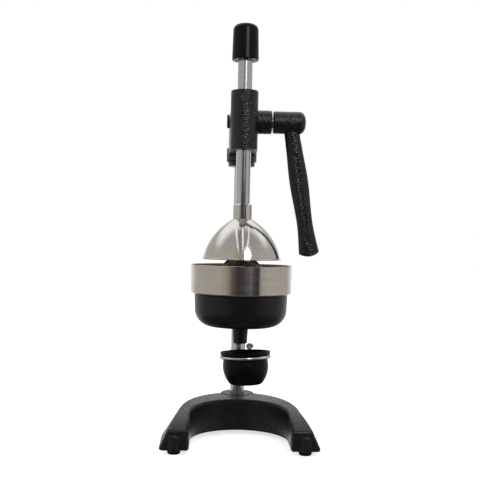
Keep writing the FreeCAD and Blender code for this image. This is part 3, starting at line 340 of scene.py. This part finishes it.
def slow_drift(name):
    """A slow, cloudy change over the surface: handling marks, film and uneven gloss."""
    group, given, out = new_group(name, [("Size", 0.03)], ["Cloud"])
    per_metre = math_node(group, "DIVIDE", 1.0, given["Size"])
    drift = noise(group, given["Vector"], per_metre, detail=4.0, roughness=0.6)
    feed(group, out["Cloud"], remap(group, drift, 0.3, 0.7, 0.0, 1.0))
    return group


def thinned_and_lit_edges(name):
    """One on sharp edges and corners, broken up by noise, and nought on open faces; the materials
    lighten their colour under it, partly as a painted edge highlight.
    """
    open_face, sharp_edge = 0.995, 0.90
    group, given, out = new_group(name, [("Width", 0.0012), ("Break size", 0.004)], ["Edge"])
    round_normal = new_node(group, "ShaderNodeBevel", samples=4)
    feed(group, round_normal.inputs["Radius"], given["Width"])
    geometry = new_node(group, "ShaderNodeNewGeometry")
    turn = new_node(group, "ShaderNodeVectorMath", operation="DOT_PRODUCT")
    feed(group, turn.inputs[0], round_normal.outputs[0])
    feed(group, turn.inputs[1], geometry.outputs["Normal"])
    edge = remap(group, turn.outputs["Value"], open_face, sharp_edge, 0.0, 1.0)
    per_metre = math_node(group, "DIVIDE", 1.0, given["Break size"])
    patches = noise(group, given["Vector"], per_metre, detail=3.0, roughness=0.6)
    breaks = remap(group, patches, 0.35, 0.6, 0.0, 1.0)
    feed(group, out["Edge"], math_node(group, "MULTIPLY", edge, breaks))
    return group


def place_group(tree, build, vector, **values):
    """Places a shared group in a material with its own values, and gives its outputs."""
    node = new_node(tree, "ShaderNodeGroup")
    node.node_tree = shared(build.__name__, build)
    feed(tree, node.inputs["Vector"], vector)
    for label, value in values.items():
        node.inputs[label.replace("_", " ").capitalize()].default_value = value
    return node.outputs


def raise_surface(tree, shader, height, depth):
    """Bumps the shader's normal by a height of nought to one times depth, in metres."""
    bump = new_node(tree, "ShaderNodeBump")
    bump.inputs["Distance"].default_value = depth
    feed(tree, bump.inputs["Height"], height)
    feed(tree, shader.inputs["Normal"], bump.outputs[0])


def new_material(name, **constants):
    """A material of one Principled shader with its constants, and its object coordinates."""
    material = bpy.data.materials.new(name)
    material.use_nodes = True
    tree = material.node_tree
    shader = tree.nodes["Principled BSDF"]
    for label, value in constants.items():
        shader.inputs[label.replace("_", " ")].default_value = value
    place = new_node(tree, "ShaderNodeTexCoord").outputs["Object"]
    return material, tree, shader, place


def hammered_material(name, paint, cell, depth, rough, gloss=0.25):
    """Hammer-finish paint on a casting, a little lighter and smoother on sharp edges: the paint
    thins there, and the lighter colour is also a painted edge highlight.
    """
    cloud_share, valley_share, edge_lightening = 0.10, 0.12, 0.55
    material, tree, shader, place = new_material(name, Specular_IOR_Level=gloss)
    cells = place_group(tree, hammer_paint, place, cell=cell)
    cloud = place_group(tree, slow_drift, place, size=0.02)["Cloud"]
    edge = place_group(tree, thinned_and_lit_edges, place, width=0.0011)["Edge"]
    lighter = tuple(4.0 * part for part in paint)
    # Lighter colour on sharp edges: a painted edge highlight, with the paint thinning there
    edge_lit_paint = tuple(min(1.0, 5.0 * part) for part in paint)
    flecked = mix_colour(tree, cells["Valley"], lighter, paint)
    feed(tree, shader.inputs["Base Color"],
         mix_colour(tree, math_node(tree, "MULTIPLY", edge, edge_lightening), flecked, edge_lit_paint))
    uneven = math_node(tree, "MULTIPLY_ADD", cloud, cloud_share, rough - cloud_share / 2)
    feed(tree, shader.inputs["Roughness"],
         math_node(tree, "MULTIPLY_ADD", cells["Valley"], valley_share, uneven))
    raise_surface(tree, shader, cells["Height"], depth)
    return material


def satin_paint_material(name, paint, rough, grain_size, depth, gloss=0.2):
    """Satin paint or moulded plastic with a fine grain, faint lighter specks, and lighter sharp
    edges that are partly wear and partly a painted edge highlight.
    """
    cloud_share, speck_share, edge_lightening = 0.12, 0.35, 0.6
    material, tree, shader, place = new_material(name, Specular_IOR_Level=gloss)
    grain = place_group(tree, surface_grain, place, size=grain_size)
    cloud = place_group(tree, slow_drift, place, size=0.035)["Cloud"]
    edge = place_group(tree, thinned_and_lit_edges, place, width=0.0009)["Edge"]
    speck = tuple(2.4 * part + 0.001 for part in paint)
    # Lighter on sharp edges: partly edge wear and partly a painted edge highlight
    marks = math_node(tree, "MULTIPLY_ADD", grain["Speck"], speck_share,
                      math_node(tree, "MULTIPLY", edge, edge_lightening))
    feed(tree, shader.inputs["Base Color"], mix_colour(tree, marks, paint, speck))
    feed(tree, shader.inputs["Roughness"],
         math_node(tree, "MULTIPLY_ADD", cloud, cloud_share, rough - cloud_share / 2))
    raise_surface(tree, shader, grain["Height"], depth)
    return material


def ringed_steel_material(name, steel, rough, pitch, depth, stretch):
    """Steel polished or brushed round its axis, with highlights drawn out across the lines."""
    cloud_share, streak_share = 0.06, 0.04
    material, tree, shader, place = new_material(name, Anisotropic=stretch,
                                                 Anisotropic_Rotation=0.25)
    tangent = new_node(tree, "ShaderNodeTangent", direction_type="RADIAL", axis="Z")
    feed(tree, shader.inputs["Tangent"], tangent.outputs[0])
    lines = place_group(tree, brushed_lines, place, pitch=pitch)
    cloud = place_group(tree, slow_drift, place, size=0.028)["Cloud"]
    darker = tuple(0.86 * part for part in steel)
    tone = math_node(tree, "MULTIPLY_ADD", lines["Streak"], 0.5,
                     math_node(tree, "MULTIPLY", cloud, 0.35))
    feed(tree, shader.inputs["Base Color"], mix_colour(tree, tone, steel, darker))
    shader.inputs["Metallic"].default_value = 1.0
    uneven = math_node(tree, "MULTIPLY_ADD", cloud, cloud_share, rough - cloud_share / 2)
    feed(tree, shader.inputs["Roughness"],
         math_node(tree, "MULTIPLY_ADD", lines["Streak"], streak_share, uneven))
    raise_surface(tree, shader, lines["Height"], depth)
    return material


def drawn_steel_material(name, steel, rough, pitch, depth):
    """A ground steel bar with fine lines along it."""
    material, tree, shader, place = new_material(name, Metallic=1.0)
    lines = place_group(tree, drawn_lines, place, pitch=pitch)
    cloud = place_group(tree, slow_drift, place, size=0.03)["Cloud"]
    darker = tuple(0.84 * part for part in steel)
    feed(tree, shader.inputs["Base Color"], mix_colour(tree, lines["Streak"], steel, darker))
    feed(tree, shader.inputs["Roughness"], math_node(tree, "MULTIPLY_ADD", cloud, 0.07, rough))
    raise_surface(tree, shader, lines["Height"], depth)
    return material


def plain_metal_material(name, metal, rough):
    """Turned and plated small metal parts, slightly clouded, brighter on their edges as a painted
    edge highlight.
    """
    material, tree, shader, place = new_material(name, Metallic=1.0)
    grain = place_group(tree, surface_grain, place, size=TURNED_GRAIN)
    cloud = place_group(tree, slow_drift, place, size=0.008)["Cloud"]
    edge = place_group(tree, thinned_and_lit_edges, place, width=0.0005)["Edge"]
    dull = tuple(0.8 * part for part in metal)
    # Brighter metal on the edges: a painted edge highlight
    bright = tuple(min(1.0, 1.25 * part) for part in metal)
    clouded = mix_colour(tree, cloud, metal, dull)
    feed(tree, shader.inputs["Base Color"], mix_colour(tree, edge, clouded, bright))
    feed(tree, shader.inputs["Roughness"], math_node(tree, "MULTIPLY_ADD", cloud, 0.12, rough))
    raise_surface(tree, shader, grain["Height"], TURNED_RELIEF)
    return material


def dress(material, slot, *names):
    """Gives CAD nodes or pieces their material. The slot that it stands for is not used."""
    for name in names:
        piece = bpy.data.objects[name]
        piece.data.materials.clear()
        piece.data.materials.append(material)


# Geometry Nodes building

def new_geometry_group(name, inputs):
    """An empty Geometry Nodes tree with (label, socket kind) inputs, and what it is given."""
    tree = bpy.data.node_groups.new(name, "GeometryNodeTree")
    tree.interface.new_socket(name="Geometry", in_out="INPUT", socket_type="NodeSocketGeometry")
    for label, kind in inputs:
        tree.interface.new_socket(name=label, in_out="INPUT", socket_type="NodeSocket" + kind)
    tree.interface.new_socket(name="Geometry", in_out="OUTPUT", socket_type="NodeSocketGeometry")
    return tree, new_node(tree, "NodeGroupInput").outputs, new_node(tree, "NodeGroupOutput").inputs


def close_tree(tree, geometry, material, out):
    """Ends a tree in Realize Instances and Set Material."""
    real = new_node(tree, "GeometryNodeRealizeInstances")
    feed(tree, real.inputs[0], geometry)
    painted = new_node(tree, "GeometryNodeSetMaterial")
    feed(tree, painted.inputs["Geometry"], real.outputs[0])
    feed(tree, painted.inputs["Material"], material)
    feed(tree, out["Geometry"], painted.outputs[0])
    return tree


def wound_wire_tree(name="wound_wire"):
    """A wire wound round the Z axis: a coil spring, or the ridge of a thread."""
    tree, given, out = new_geometry_group(name, [
        ("Radius", "Float"), ("Length", "Float"), ("Turns", "Float"), ("Wire", "Float"),
        ("Sides", "Int"), ("Material", "Material")])
    spiral = new_node(tree, "GeometryNodeCurveSpiral")
    spiral.inputs["Resolution"].default_value = WIRE_STEPS
    feed(tree, spiral.inputs["Rotations"], given["Turns"])
    feed(tree, spiral.inputs["Start Radius"], given["Radius"])
    feed(tree, spiral.inputs["End Radius"], given["Radius"])
    feed(tree, spiral.inputs["Height"], given["Length"])
    section = new_node(tree, "GeometryNodeCurvePrimitiveCircle", mode="RADIUS")
    feed(tree, section.inputs["Resolution"], given["Sides"])
    feed(tree, section.inputs["Radius"], given["Wire"])
    swept = new_node(tree, "GeometryNodeCurveToMesh")
    swept.inputs["Fill Caps"].default_value = True
    feed(tree, swept.inputs["Curve"], spiral.outputs[0])
    feed(tree, swept.inputs["Profile Curve"], section.outputs[0])
    return close_tree(tree, swept.outputs[0], given["Material"], out)


def stacked_rings_tree(name="stacked_rings"):
    """Rings stacked along Z over each point of the mesh that it is given."""
    tree, given, out = new_geometry_group(name, [
        ("Radius", "Float"), ("Wire", "Float"), ("Count", "Int"), ("Step", "Float"),
        ("Material", "Material")])
    ring = new_node(tree, "GeometryNodeCurvePrimitiveCircle", mode="RADIUS")
    ring.inputs["Resolution"].default_value = RING_STEPS
    feed(tree, ring.inputs["Radius"], given["Radius"])
    section = new_node(tree, "GeometryNodeCurvePrimitiveCircle", mode="RADIUS")
    section.inputs["Resolution"].default_value = RING_SIDES
    feed(tree, section.inputs["Radius"], given["Wire"])
    swept = new_node(tree, "GeometryNodeCurveToMesh")
    feed(tree, swept.inputs["Curve"], ring.outputs[0])
    feed(tree, swept.inputs["Profile Curve"], section.outputs[0])
    line = new_node(tree, "GeometryNodeMeshLine", mode="OFFSET")
    feed(tree, line.inputs["Count"], given["Count"])
    rise = new_node(tree, "ShaderNodeCombineXYZ")
    feed(tree, rise.inputs["Z"], given["Step"])
    feed(tree, line.inputs["Offset"], rise.outputs[0])
    stack = new_node(tree, "GeometryNodeInstanceOnPoints")
    feed(tree, stack.inputs["Points"], line.outputs[0])
    feed(tree, stack.inputs["Instance"], swept.outputs[0])
    spread = new_node(tree, "GeometryNodeInstanceOnPoints")
    feed(tree, spread.inputs["Points"], given["Geometry"])
    feed(tree, spread.inputs["Instance"], stack.outputs[0])
    return close_tree(tree, spread.outputs[0], given["Material"], out)


def grow(name, tree, points, values, place=None):
    """Runs a tree on a mesh of loose points and keeps the result as a plain smooth mesh."""
    seed = bpy.data.meshes.new(name + "_points")
    seed.from_pydata([tuple(point) for point in points], [], [])
    source = bpy.data.objects.new(name + "_source", seed)
    bpy.context.scene.collection.objects.link(source)
    modifier = source.modifiers.new("grow", "NODES")
    modifier.node_group = tree
    for item in tree.interface.items_tree:
        if item.in_out == "INPUT" and item.name in values:
            modifier[item.identifier] = values[item.name]
    evaluated = source.evaluated_get(bpy.context.evaluated_depsgraph_get())
    mesh = bpy.data.meshes.new_from_object(evaluated)
    bpy.data.objects.remove(source)
    if place is not None:
        mesh.transform(place)
    mesh.shade_smooth()
    mesh.name = name
    piece = bpy.data.objects.new(name, mesh)
    bpy.context.scene.collection.objects.link(piece)
    return piece


def middle(node):
    """The middle of a CAD node's box."""
    low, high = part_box(node)
    return (low + high) / 2


def along(axis, start):
    """Turns the Z axis to the named axis and moves the origin to start."""
    turn = Vector((0, 0, 1)).rotation_difference(Vector(axis)).to_matrix().to_4x4()
    return Matrix.Translation(start) @ turn


# Stage

def add_camera(view):
    """The camera where the picture was taken from: level, with a small yaw and roll."""
    data = bpy.data.cameras.new("picture_camera")
    data.sensor_width = SENSOR
    data.lens = SENSOR * FOCAL_PIXELS / PICTURE_SIZE
    data.clip_start = NEAR_CLIP
    data.clip_end = FAR_CLIP
    camera = bpy.data.objects.new("picture_camera", data)
    bpy.context.scene.collection.objects.link(camera)
    level = Matrix.Rotation(math.pi / 2, 4, "X")
    yaw = Matrix.Rotation(-view.yaw, 4, "Z")
    roll = Matrix.Rotation(view.roll, 4, "Z")
    place = Matrix.Translation((view.side, -view.distance, view.height))
    camera.matrix_world = place @ yaw @ level @ roll
    bpy.context.scene.camera = camera


def add_floor(studio):
    """A pale floor that reads as white where no shadow falls on it."""
    half = studio.floor_size / 2
    mesh = bpy.data.meshes.new("floor")
    corners = [(-half, -half, 0), (half, -half, 0), (half, half, 0), (-half, half, 0)]
    mesh.from_pydata(corners, [], [(0, 1, 2, 3)])
    floor = bpy.data.objects.new("floor", mesh)
    bpy.context.scene.collection.objects.link(floor)
    material = bpy.data.materials.new("pale_floor")
    material.use_nodes = True
    tree = material.node_tree
    shader = tree.nodes["Principled BSDF"]
    place = new_node(tree, "ShaderNodeTexCoord").outputs["Object"]
    cloud = place_group(tree, slow_drift, place, size=0.4)["Cloud"]
    dimmer = tuple(0.98 * part for part in studio.floor_colour)
    feed(tree, shader.inputs["Base Color"],
         mix_colour(tree, cloud, tuple(studio.floor_colour), dimmer))
    shader.inputs["Roughness"].default_value = 0.9
    shader.inputs["Specular IOR Level"].default_value = 0.1
    path = new_node(tree, "ShaderNodeLightPath")
    shader.inputs["Emission Color"].default_value = (*WHITE, 1.0)
    feed(tree, shader.inputs["Emission Strength"],
         math_node(tree, "MULTIPLY", path.outputs["Is Camera Ray"], FLOOR_GLOW))
    mesh.materials.append(material)
    floor.visible_glossy = False


def add_lamp(name, shape, size, power, azimuth, elevation, distance, seen_in_metal):
    """A soft lamp that faces the middle of the press. Azimuth 0 is the camera's side."""
    data = bpy.data.lights.new(name, "AREA")
    data.shape = shape
    data.size, data.size_y = size
    data.energy = power
    lamp = bpy.data.objects.new(name, data)
    bpy.context.scene.collection.objects.link(lamp)
    a, e = math.radians(azimuth), math.radians(elevation)
    away = Vector((math.sin(a) * math.cos(e), -math.cos(a) * math.cos(e), math.sin(e)))
    lamp.location = Vector((*BELL_AXIS, MIDDLE_HEIGHT)) + distance * away
    lamp.rotation_euler = away.to_track_quat("Z", "Y").to_euler()
    lamp.visible_glossy = seen_in_metal
    lamp.visible_camera = False


def around_ramp(tree, turn, *stops):
    """Levels round the press by azimuth in degrees: 0 is the camera's side, 90 the handle's."""
    return ramp(tree, turn, *((0.5 + degrees / 360.0, colour) for degrees, colour in stops))


def add_surroundings(studio):
    """White behind the press, and in metal a plain room.

    The room is dark by the camera and lit at both sides. Its lower part is what upright faces
    reflect, its upper part what leaning faces reflect, and lamp tubes run overhead.
    """
    world = bpy.data.worlds.new("surroundings")
    bpy.context.scene.world = world
    world.use_nodes = True
    tree = world.node_tree
    tree.nodes.clear()
    way = new_node(tree, "ShaderNodeSeparateXYZ")
    feed(tree, way.inputs[0], new_node(tree, "ShaderNodeTexCoord").outputs["Generated"])
    across, depth, up = way.outputs
    azimuth = math_node(tree, "ARCTAN2", across, math_node(tree, "MULTIPLY", depth, -1.0))
    turn = math_node(tree, "MULTIPLY_ADD", azimuth, 0.5 / math.pi, 0.5)
    lower = around_ramp(
        tree, turn, (-180, 1.0), (-145, 0.95), (-125, (0.62, 0.60, 0.56)),
        (-50, (0.60, 0.57, 0.52)), (-33, (0.46, 0.42, 0.37)), (-22, (0.17, 0.13, 0.11)),
        (-9, (0.045, 0.038, 0.038)), (16, (0.06, 0.06, 0.07)), (20, (0.15, 0.15, 0.16)),
        (25, (0.06, 0.06, 0.07)), (39, (0.02, 0.02, 0.025)), (42, (0.52, 0.50, 0.47)),
        (60, (0.62, 0.60, 0.56)), (125, (0.6, 0.58, 0.55)), (145, 0.95), (180, 1.0))
    upper = around_ramp(
        tree, turn, (-180, 1.0), (-172, 0.95), (-158, (0.60, 0.58, 0.55)),
        (-30, (0.56, 0.54, 0.50)), (-12, (0.34, 0.33, 0.32)), (6, (0.36, 0.35, 0.34)),
        (12, 1.6), (22, 1.6), (28, (0.5, 0.49, 0.47)), (60, (0.56, 0.54, 0.51)),
        (158, (0.60, 0.58, 0.55)), (172, 0.95), (180, 1.0))
    walls = mix_colour(tree, fade(tree, up, 0.10, 0.17), lower, upper)
    walls = mix_colour(tree, fade(tree, up, -0.3, -0.5), walls, (0.16, 0.15, 0.14))
    slant = math_node(tree, "DIVIDE", across, math_node(tree, "MAXIMUM", up, 0.05))
    tube_stops = (
        (-1.0, (0.55, 0.53, 0.50)), (-0.285, (0.5, 0.48, 0.46)), (-0.265, 2.4), (-0.245, 2.4),
        (-0.225, 0.32), (0.0, 0.30), (0.015, 2.4), (0.035, 2.4), (0.055, 0.36), (0.275, 0.36),
        (0.29, 2.2), (0.31, 2.2), (0.33, 0.42), (1.0, (0.52, 0.50, 0.47)))
    tubes = ramp(tree, remap(tree, slant, -1.0, 1.0, 0.0, 1.0),
                 *((0.5 + 0.5 * place, level) for place, level in tube_stops))
    room = mix_colour(tree, fade(tree, up, 0.55, 0.8), walls, tubes)
    over_back = math_node(tree, "MULTIPLY", fade(tree, up, 0.45, 0.7),
                          fade(tree, depth, -0.15, 0.25))
    room = mix_colour(tree, over_back, room, (1.3, 1.3, 1.28))
    warm_patch = math_node(tree, "MULTIPLY", near(tree, turn, 0.468, 0.016, 0.024),
                           near(tree, up, 0.54, 0.07, 0.13))
    room = mix_colour(tree, warm_patch, room, (0.62, 0.43, 0.17))
    path = new_node(tree, "ShaderNodeLightPath")
    reflected = math_node(tree, "MAXIMUM", path.outputs["Is Glossy Ray"],
                          path.outputs["Is Transmission Ray"])
    level = (studio.ambient, studio.ambient, studio.ambient)
    lit = mix_colour(tree, reflected, level, room)
    seen = mix_colour(tree, path.outputs["Is Camera Ray"], lit, WHITE)
    background = new_node(tree, "ShaderNodeBackground")
    feed(tree, background.inputs["Color"], seen)
    output = new_node(tree, "ShaderNodeOutputWorld")
    feed(tree, output.inputs[0], background.outputs[0])


class PRESS_OT_stage(Operator):
    """Camera, floor, surroundings and lamps"""
    bl_idname = "press.stage"
    bl_label = "Stage"

    def execute(self, context):
        studio = context.scene.press_studio
        context.scene.view_settings.view_transform = "Standard"
        add_camera(context.scene.press_view)
        add_floor(studio)
        add_surroundings(studio)
        add_lamp("front_soft_box", "ELLIPSE", (0.46, 0.40), studio.key_power,
                 azimuth=17.0, elevation=31.0, distance=1.5, seen_in_metal=True)
        add_lamp("left_lamp", "RECTANGLE", (1.4, 1.4), studio.left_power,
                 azimuth=-65.0, elevation=30.0, distance=2.2, seen_in_metal=False)
        add_lamp("top_lamp", "RECTANGLE", (1.5, 1.5), studio.top_power,
                 azimuth=0.0, elevation=88.0, distance=1.9, seen_in_metal=False)
        return {"FINISHED"}


class PRESS_OT_castings(Operator):
    """Painted castings: head, handle, base and bowl"""
    bl_idname = "press.castings"
    bl_label = "Painted castings"

    def execute(self, context):
        finish = context.scene.press_finish
        head = hammered_material("hammered_black", tuple(finish.casting_paint), finish.cell,
                                 finish.cell_depth, rough=0.20, gloss=0.42)
        dress(head, "hammertone_black", "head_casting", "handle")
        base = hammered_material("satin_hammered_black", tuple(finish.base_paint),
                                 1.3 * finish.cell, 0.3 * finish.cell_depth, rough=0.30, gloss=0.35)
        dress(base, "base_black", "base")
        bowl = satin_paint_material("satin_black", tuple(finish.bowl_paint), rough=0.34,
                                    grain_size=0.0018, depth=0.00008, gloss=0.3)
        dress(bowl, "bowl_black", "bowl_casting")
        return {"FINISHED"}


class PRESS_OT_steelwork(Operator):
    """Spun and brushed steel: bell, collar, band, strainer and cone"""
    bl_idname = "press.steelwork"
    bl_label = "Steelwork"

    def execute(self, context):
        finish = context.scene.press_finish
        polished = ringed_steel_material("polished_steel", tuple(finish.polished), rough=0.11,
                                         pitch=1.4 * finish.brush_pitch, depth=0.000004,
                                         stretch=0.75)
        dress(polished, "polished_steel", "press_bell", "bell_collar")
        brushed = ringed_steel_material("brushed_steel", tuple(finish.brushed), rough=0.15,
                                        pitch=finish.brush_pitch, depth=0.000006, stretch=0.6)
        dress(brushed, "brushed_band", "steel_band", "strainer_cone")
        return {"FINISHED"}


class PRESS_OT_bars(Operator):
    """Ground bars: column and rack rod"""
    bl_idname = "press.bars"
    bl_label = "Bars"

    def execute(self, context):
        finish = context.scene.press_finish
        column = drawn_steel_material("ground_column", tuple(finish.plated), rough=0.16,
                                      pitch=0.0004, depth=0.0000004)
        dress(column, "column_steel", "column")
        rod = drawn_steel_material("ground_rod", tuple(finish.plated), rough=0.13,
                                   pitch=0.0004, depth=0.0000004)
        dress(rod, "bright_rod", "rack_rod")
        return {"FINISHED"}


class PRESS_OT_drip_set(Operator):
    """Drip collar, ring, wing screw and cup"""
    bl_idname = "press.drip_set"
    bl_label = "Drip set"

    def execute(self, context):
        chrome = plain_metal_material("chrome_plate", (0.70, 0.70, 0.71), rough=0.10)
        dress(chrome, "chrome_wire", "drip_collar", "drip_ring")
        nickel = plain_metal_material("satin_nickel", (0.66, 0.65, 0.63), rough=0.45)
        dress(nickel, "chrome_wire", "wing_screw")
        cup = satin_paint_material("moulded_black", (0.0015, 0.0015, 0.0016), rough=0.38,
                                   grain_size=0.0009, depth=0.00001, gloss=0.12)
        dress(cup, "cup_plastic", "drip_cup")
        return {"FINISHED"}


class PRESS_OT_cap(Operator):
    """Black cap on the rod"""
    bl_idname = "press.cap"
    bl_label = "Rod cap"

    def execute(self, context):
        cap = satin_paint_material("gloss_black", (0.0015, 0.0015, 0.0015), rough=0.24,
                                   grain_size=0.0012, depth=0.000004, gloss=0.15)
        dress(cap, "cap_plastic", "rod_cap")
        return {"FINISHED"}


class PRESS_OT_fasteners(Operator):
    """Screws, nuts, washers, pinion, bush and brake"""
    bl_idname = "press.fasteners"
    bl_label = "Fasteners"

    def execute(self, context):
        steel = plain_metal_material("zinc_steel", (0.46, 0.46, 0.455), rough=0.26)
        dress(steel, "fastener_steel", "foot_screws", "column_washer", "column_nut",
              "bowl_clamp_bolt", "bowl_clamp_nut", "thrust_washer", "friction_spring",
              "pinion_shaft", "bell_washer", "bell_bolt")
        black = hammered_material("blackened_steel", (0.010, 0.010, 0.011), cell=0.0012,
                                  depth=0.00002, rough=0.34)
        dress(black, "black_fastener", "head_set_screws", "friction_screw", "handle_grub_screw",
              "shaft_end_screw")
        bronze = plain_metal_material("bush_bronze", (0.50, 0.31, 0.13), rough=0.30)
        dress(bronze, "bronze", "shaft_bush", "friction_pad")
        return {"FINISHED"}


class PRESS_OT_threads(Operator):
    """Raised thread on the clamp bolt"""
    bl_idname = "press.threads"
    bl_label = "Threads"

    def execute(self, context):
        hardware = context.scene.press_hardware
        bolt_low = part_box("bowl_clamp_bolt")[0]
        nut_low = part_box("bowl_clamp_nut")[0]
        bolt = middle("bowl_clamp_bolt")
        start = (bolt_low.x + CLAMP_THREAD_FROM_END, bolt.y, bolt.z)
        length = nut_low.x - CLAMP_THREAD_FROM_NUT - start[0]
        piece = grow("clamp_bolt_thread", wound_wire_tree(), [(0, 0, 0)], {
            "Radius": CLAMP_THREAD_R, "Length": length, "Turns": length / hardware.thread_pitch,
            "Wire": hardware.thread_height, "Sides": THREAD_SIDES,
            "Material": bpy.data.materials["zinc_steel"]},
            along((1, 0, 0), start))
        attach(piece, "stand")
        return {"FINISHED"}


class PRESS_OT_brake_spring(Operator):
    """The wound brake spring behind the head's front plug"""
    bl_idname = "press.brake_spring"
    bl_label = "Brake spring"

    def execute(self, context):
        hardware = context.scene.press_hardware
        low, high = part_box("friction_spring")
        wire = hardware.spring_wire
        centre = middle("friction_spring")
        piece = grow("brake_spring", bpy.data.node_groups["wound_wire"], [(0, 0, 0)], {
            "Radius": (high.x - low.x) / 2 - wire, "Length": high.y - low.y - 2 * wire,
            "Turns": float(hardware.spring_turns), "Wire": wire, "Sides": SPRING_SIDES,
            "Material": bpy.data.materials["zinc_steel"]},
            along((0, 1, 0), (centre.x, low.y + wire, centre.z)))
        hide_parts("friction_spring")
        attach(piece, "stand")
        return {"FINISHED"}


class PRESS_OT_feet(Operator):
    """Rubber feet with their grip rings"""
    bl_idname = "press.feet"
    bl_label = "Rubber feet"

    def execute(self, context):
        hardware = context.scene.press_hardware
        rubber = satin_paint_material("foot_rubber", (0.010, 0.010, 0.010), rough=0.72,
                                      grain_size=0.0006, depth=0.00003)
        dress(rubber, "rubber", "rubber_feet")
        corners = {}
        for vertex in NODES["rubber_feet"].data.vertices:
            corner = (vertex.co.x > 0, vertex.co.y > 0)
            corners.setdefault(corner, []).append(vertex.co)
        spots = []
        for points in corners.values():
            across = [point.x for point in points]
            back = [point.y for point in points]
            spots.append(((min(across) + max(across)) / 2, (min(back) + max(back)) / 2, RING_START))
        radius = (max(across) - min(across)) / 2
        piece = grow("foot_grip_rings", stacked_rings_tree(), spots, {
            "Radius": radius, "Wire": hardware.foot_ring_wire, "Count": hardware.foot_rings,
            "Step": RING_RISE, "Material": rubber})
        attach(piece, "stand")
        return {"FINISHED"}


class PRESS_PT_panel(Panel):
    """Every part of the press in the order that it is made"""
    bl_idname = "PRESS_PT_panel"
    bl_label = "Citrus Press"
    bl_space_type = "VIEW_3D"
    bl_region_type = "UI"
    bl_category = "Citrus Press"

    def draw(self, context):
        for operator in STEPS:
            self.layout.operator(operator.bl_idname)
        for group in (context.scene.press_view, context.scene.press_studio,
                      context.scene.press_finish, context.scene.press_hardware):
            box = self.layout.box()
            for name in group.bl_rna.properties.keys():
                if name not in ("rna_type", "name"):
                    box.prop(group, name)


STEPS = (PRESS_OT_stage, PRESS_OT_castings, PRESS_OT_steelwork, PRESS_OT_bars, PRESS_OT_drip_set,
         PRESS_OT_cap, PRESS_OT_fasteners, PRESS_OT_threads, PRESS_OT_brake_spring, PRESS_OT_feet)
GROUPS = (PressView, PressStudio, PressFinish, PressHardware)


def register():
    for cls in GROUPS + STEPS + (PRESS_PT_panel,):
        bpy.utils.register_class(cls)
    bpy.types.Scene.press_view = PointerProperty(type=PressView)
    bpy.types.Scene.press_studio = PointerProperty(type=PressStudio)
    bpy.types.Scene.press_finish = PointerProperty(type=PressFinish)
    bpy.types.Scene.press_hardware = PointerProperty(type=PressHardware)


def unregister():
    del bpy.types.Scene.press_hardware
    del bpy.types.Scene.press_finish
    del bpy.types.Scene.press_studio
    del bpy.types.Scene.press_view
    for cls in reversed(GROUPS + STEPS + (PRESS_PT_panel,)):
        bpy.utils.unregister_class(cls)


def main():
    register()
    bpy.ops.press.stage()
    bpy.ops.press.castings()
    bpy.ops.press.steelwork()
    bpy.ops.press.bars()
    bpy.ops.press.drip_set()
    bpy.ops.press.cap()
    bpy.ops.press.fasteners()
    bpy.ops.press.threads()
    bpy.ops.press.brake_spring()
    bpy.ops.press.feet()


if __name__ == "__main__":
    main()
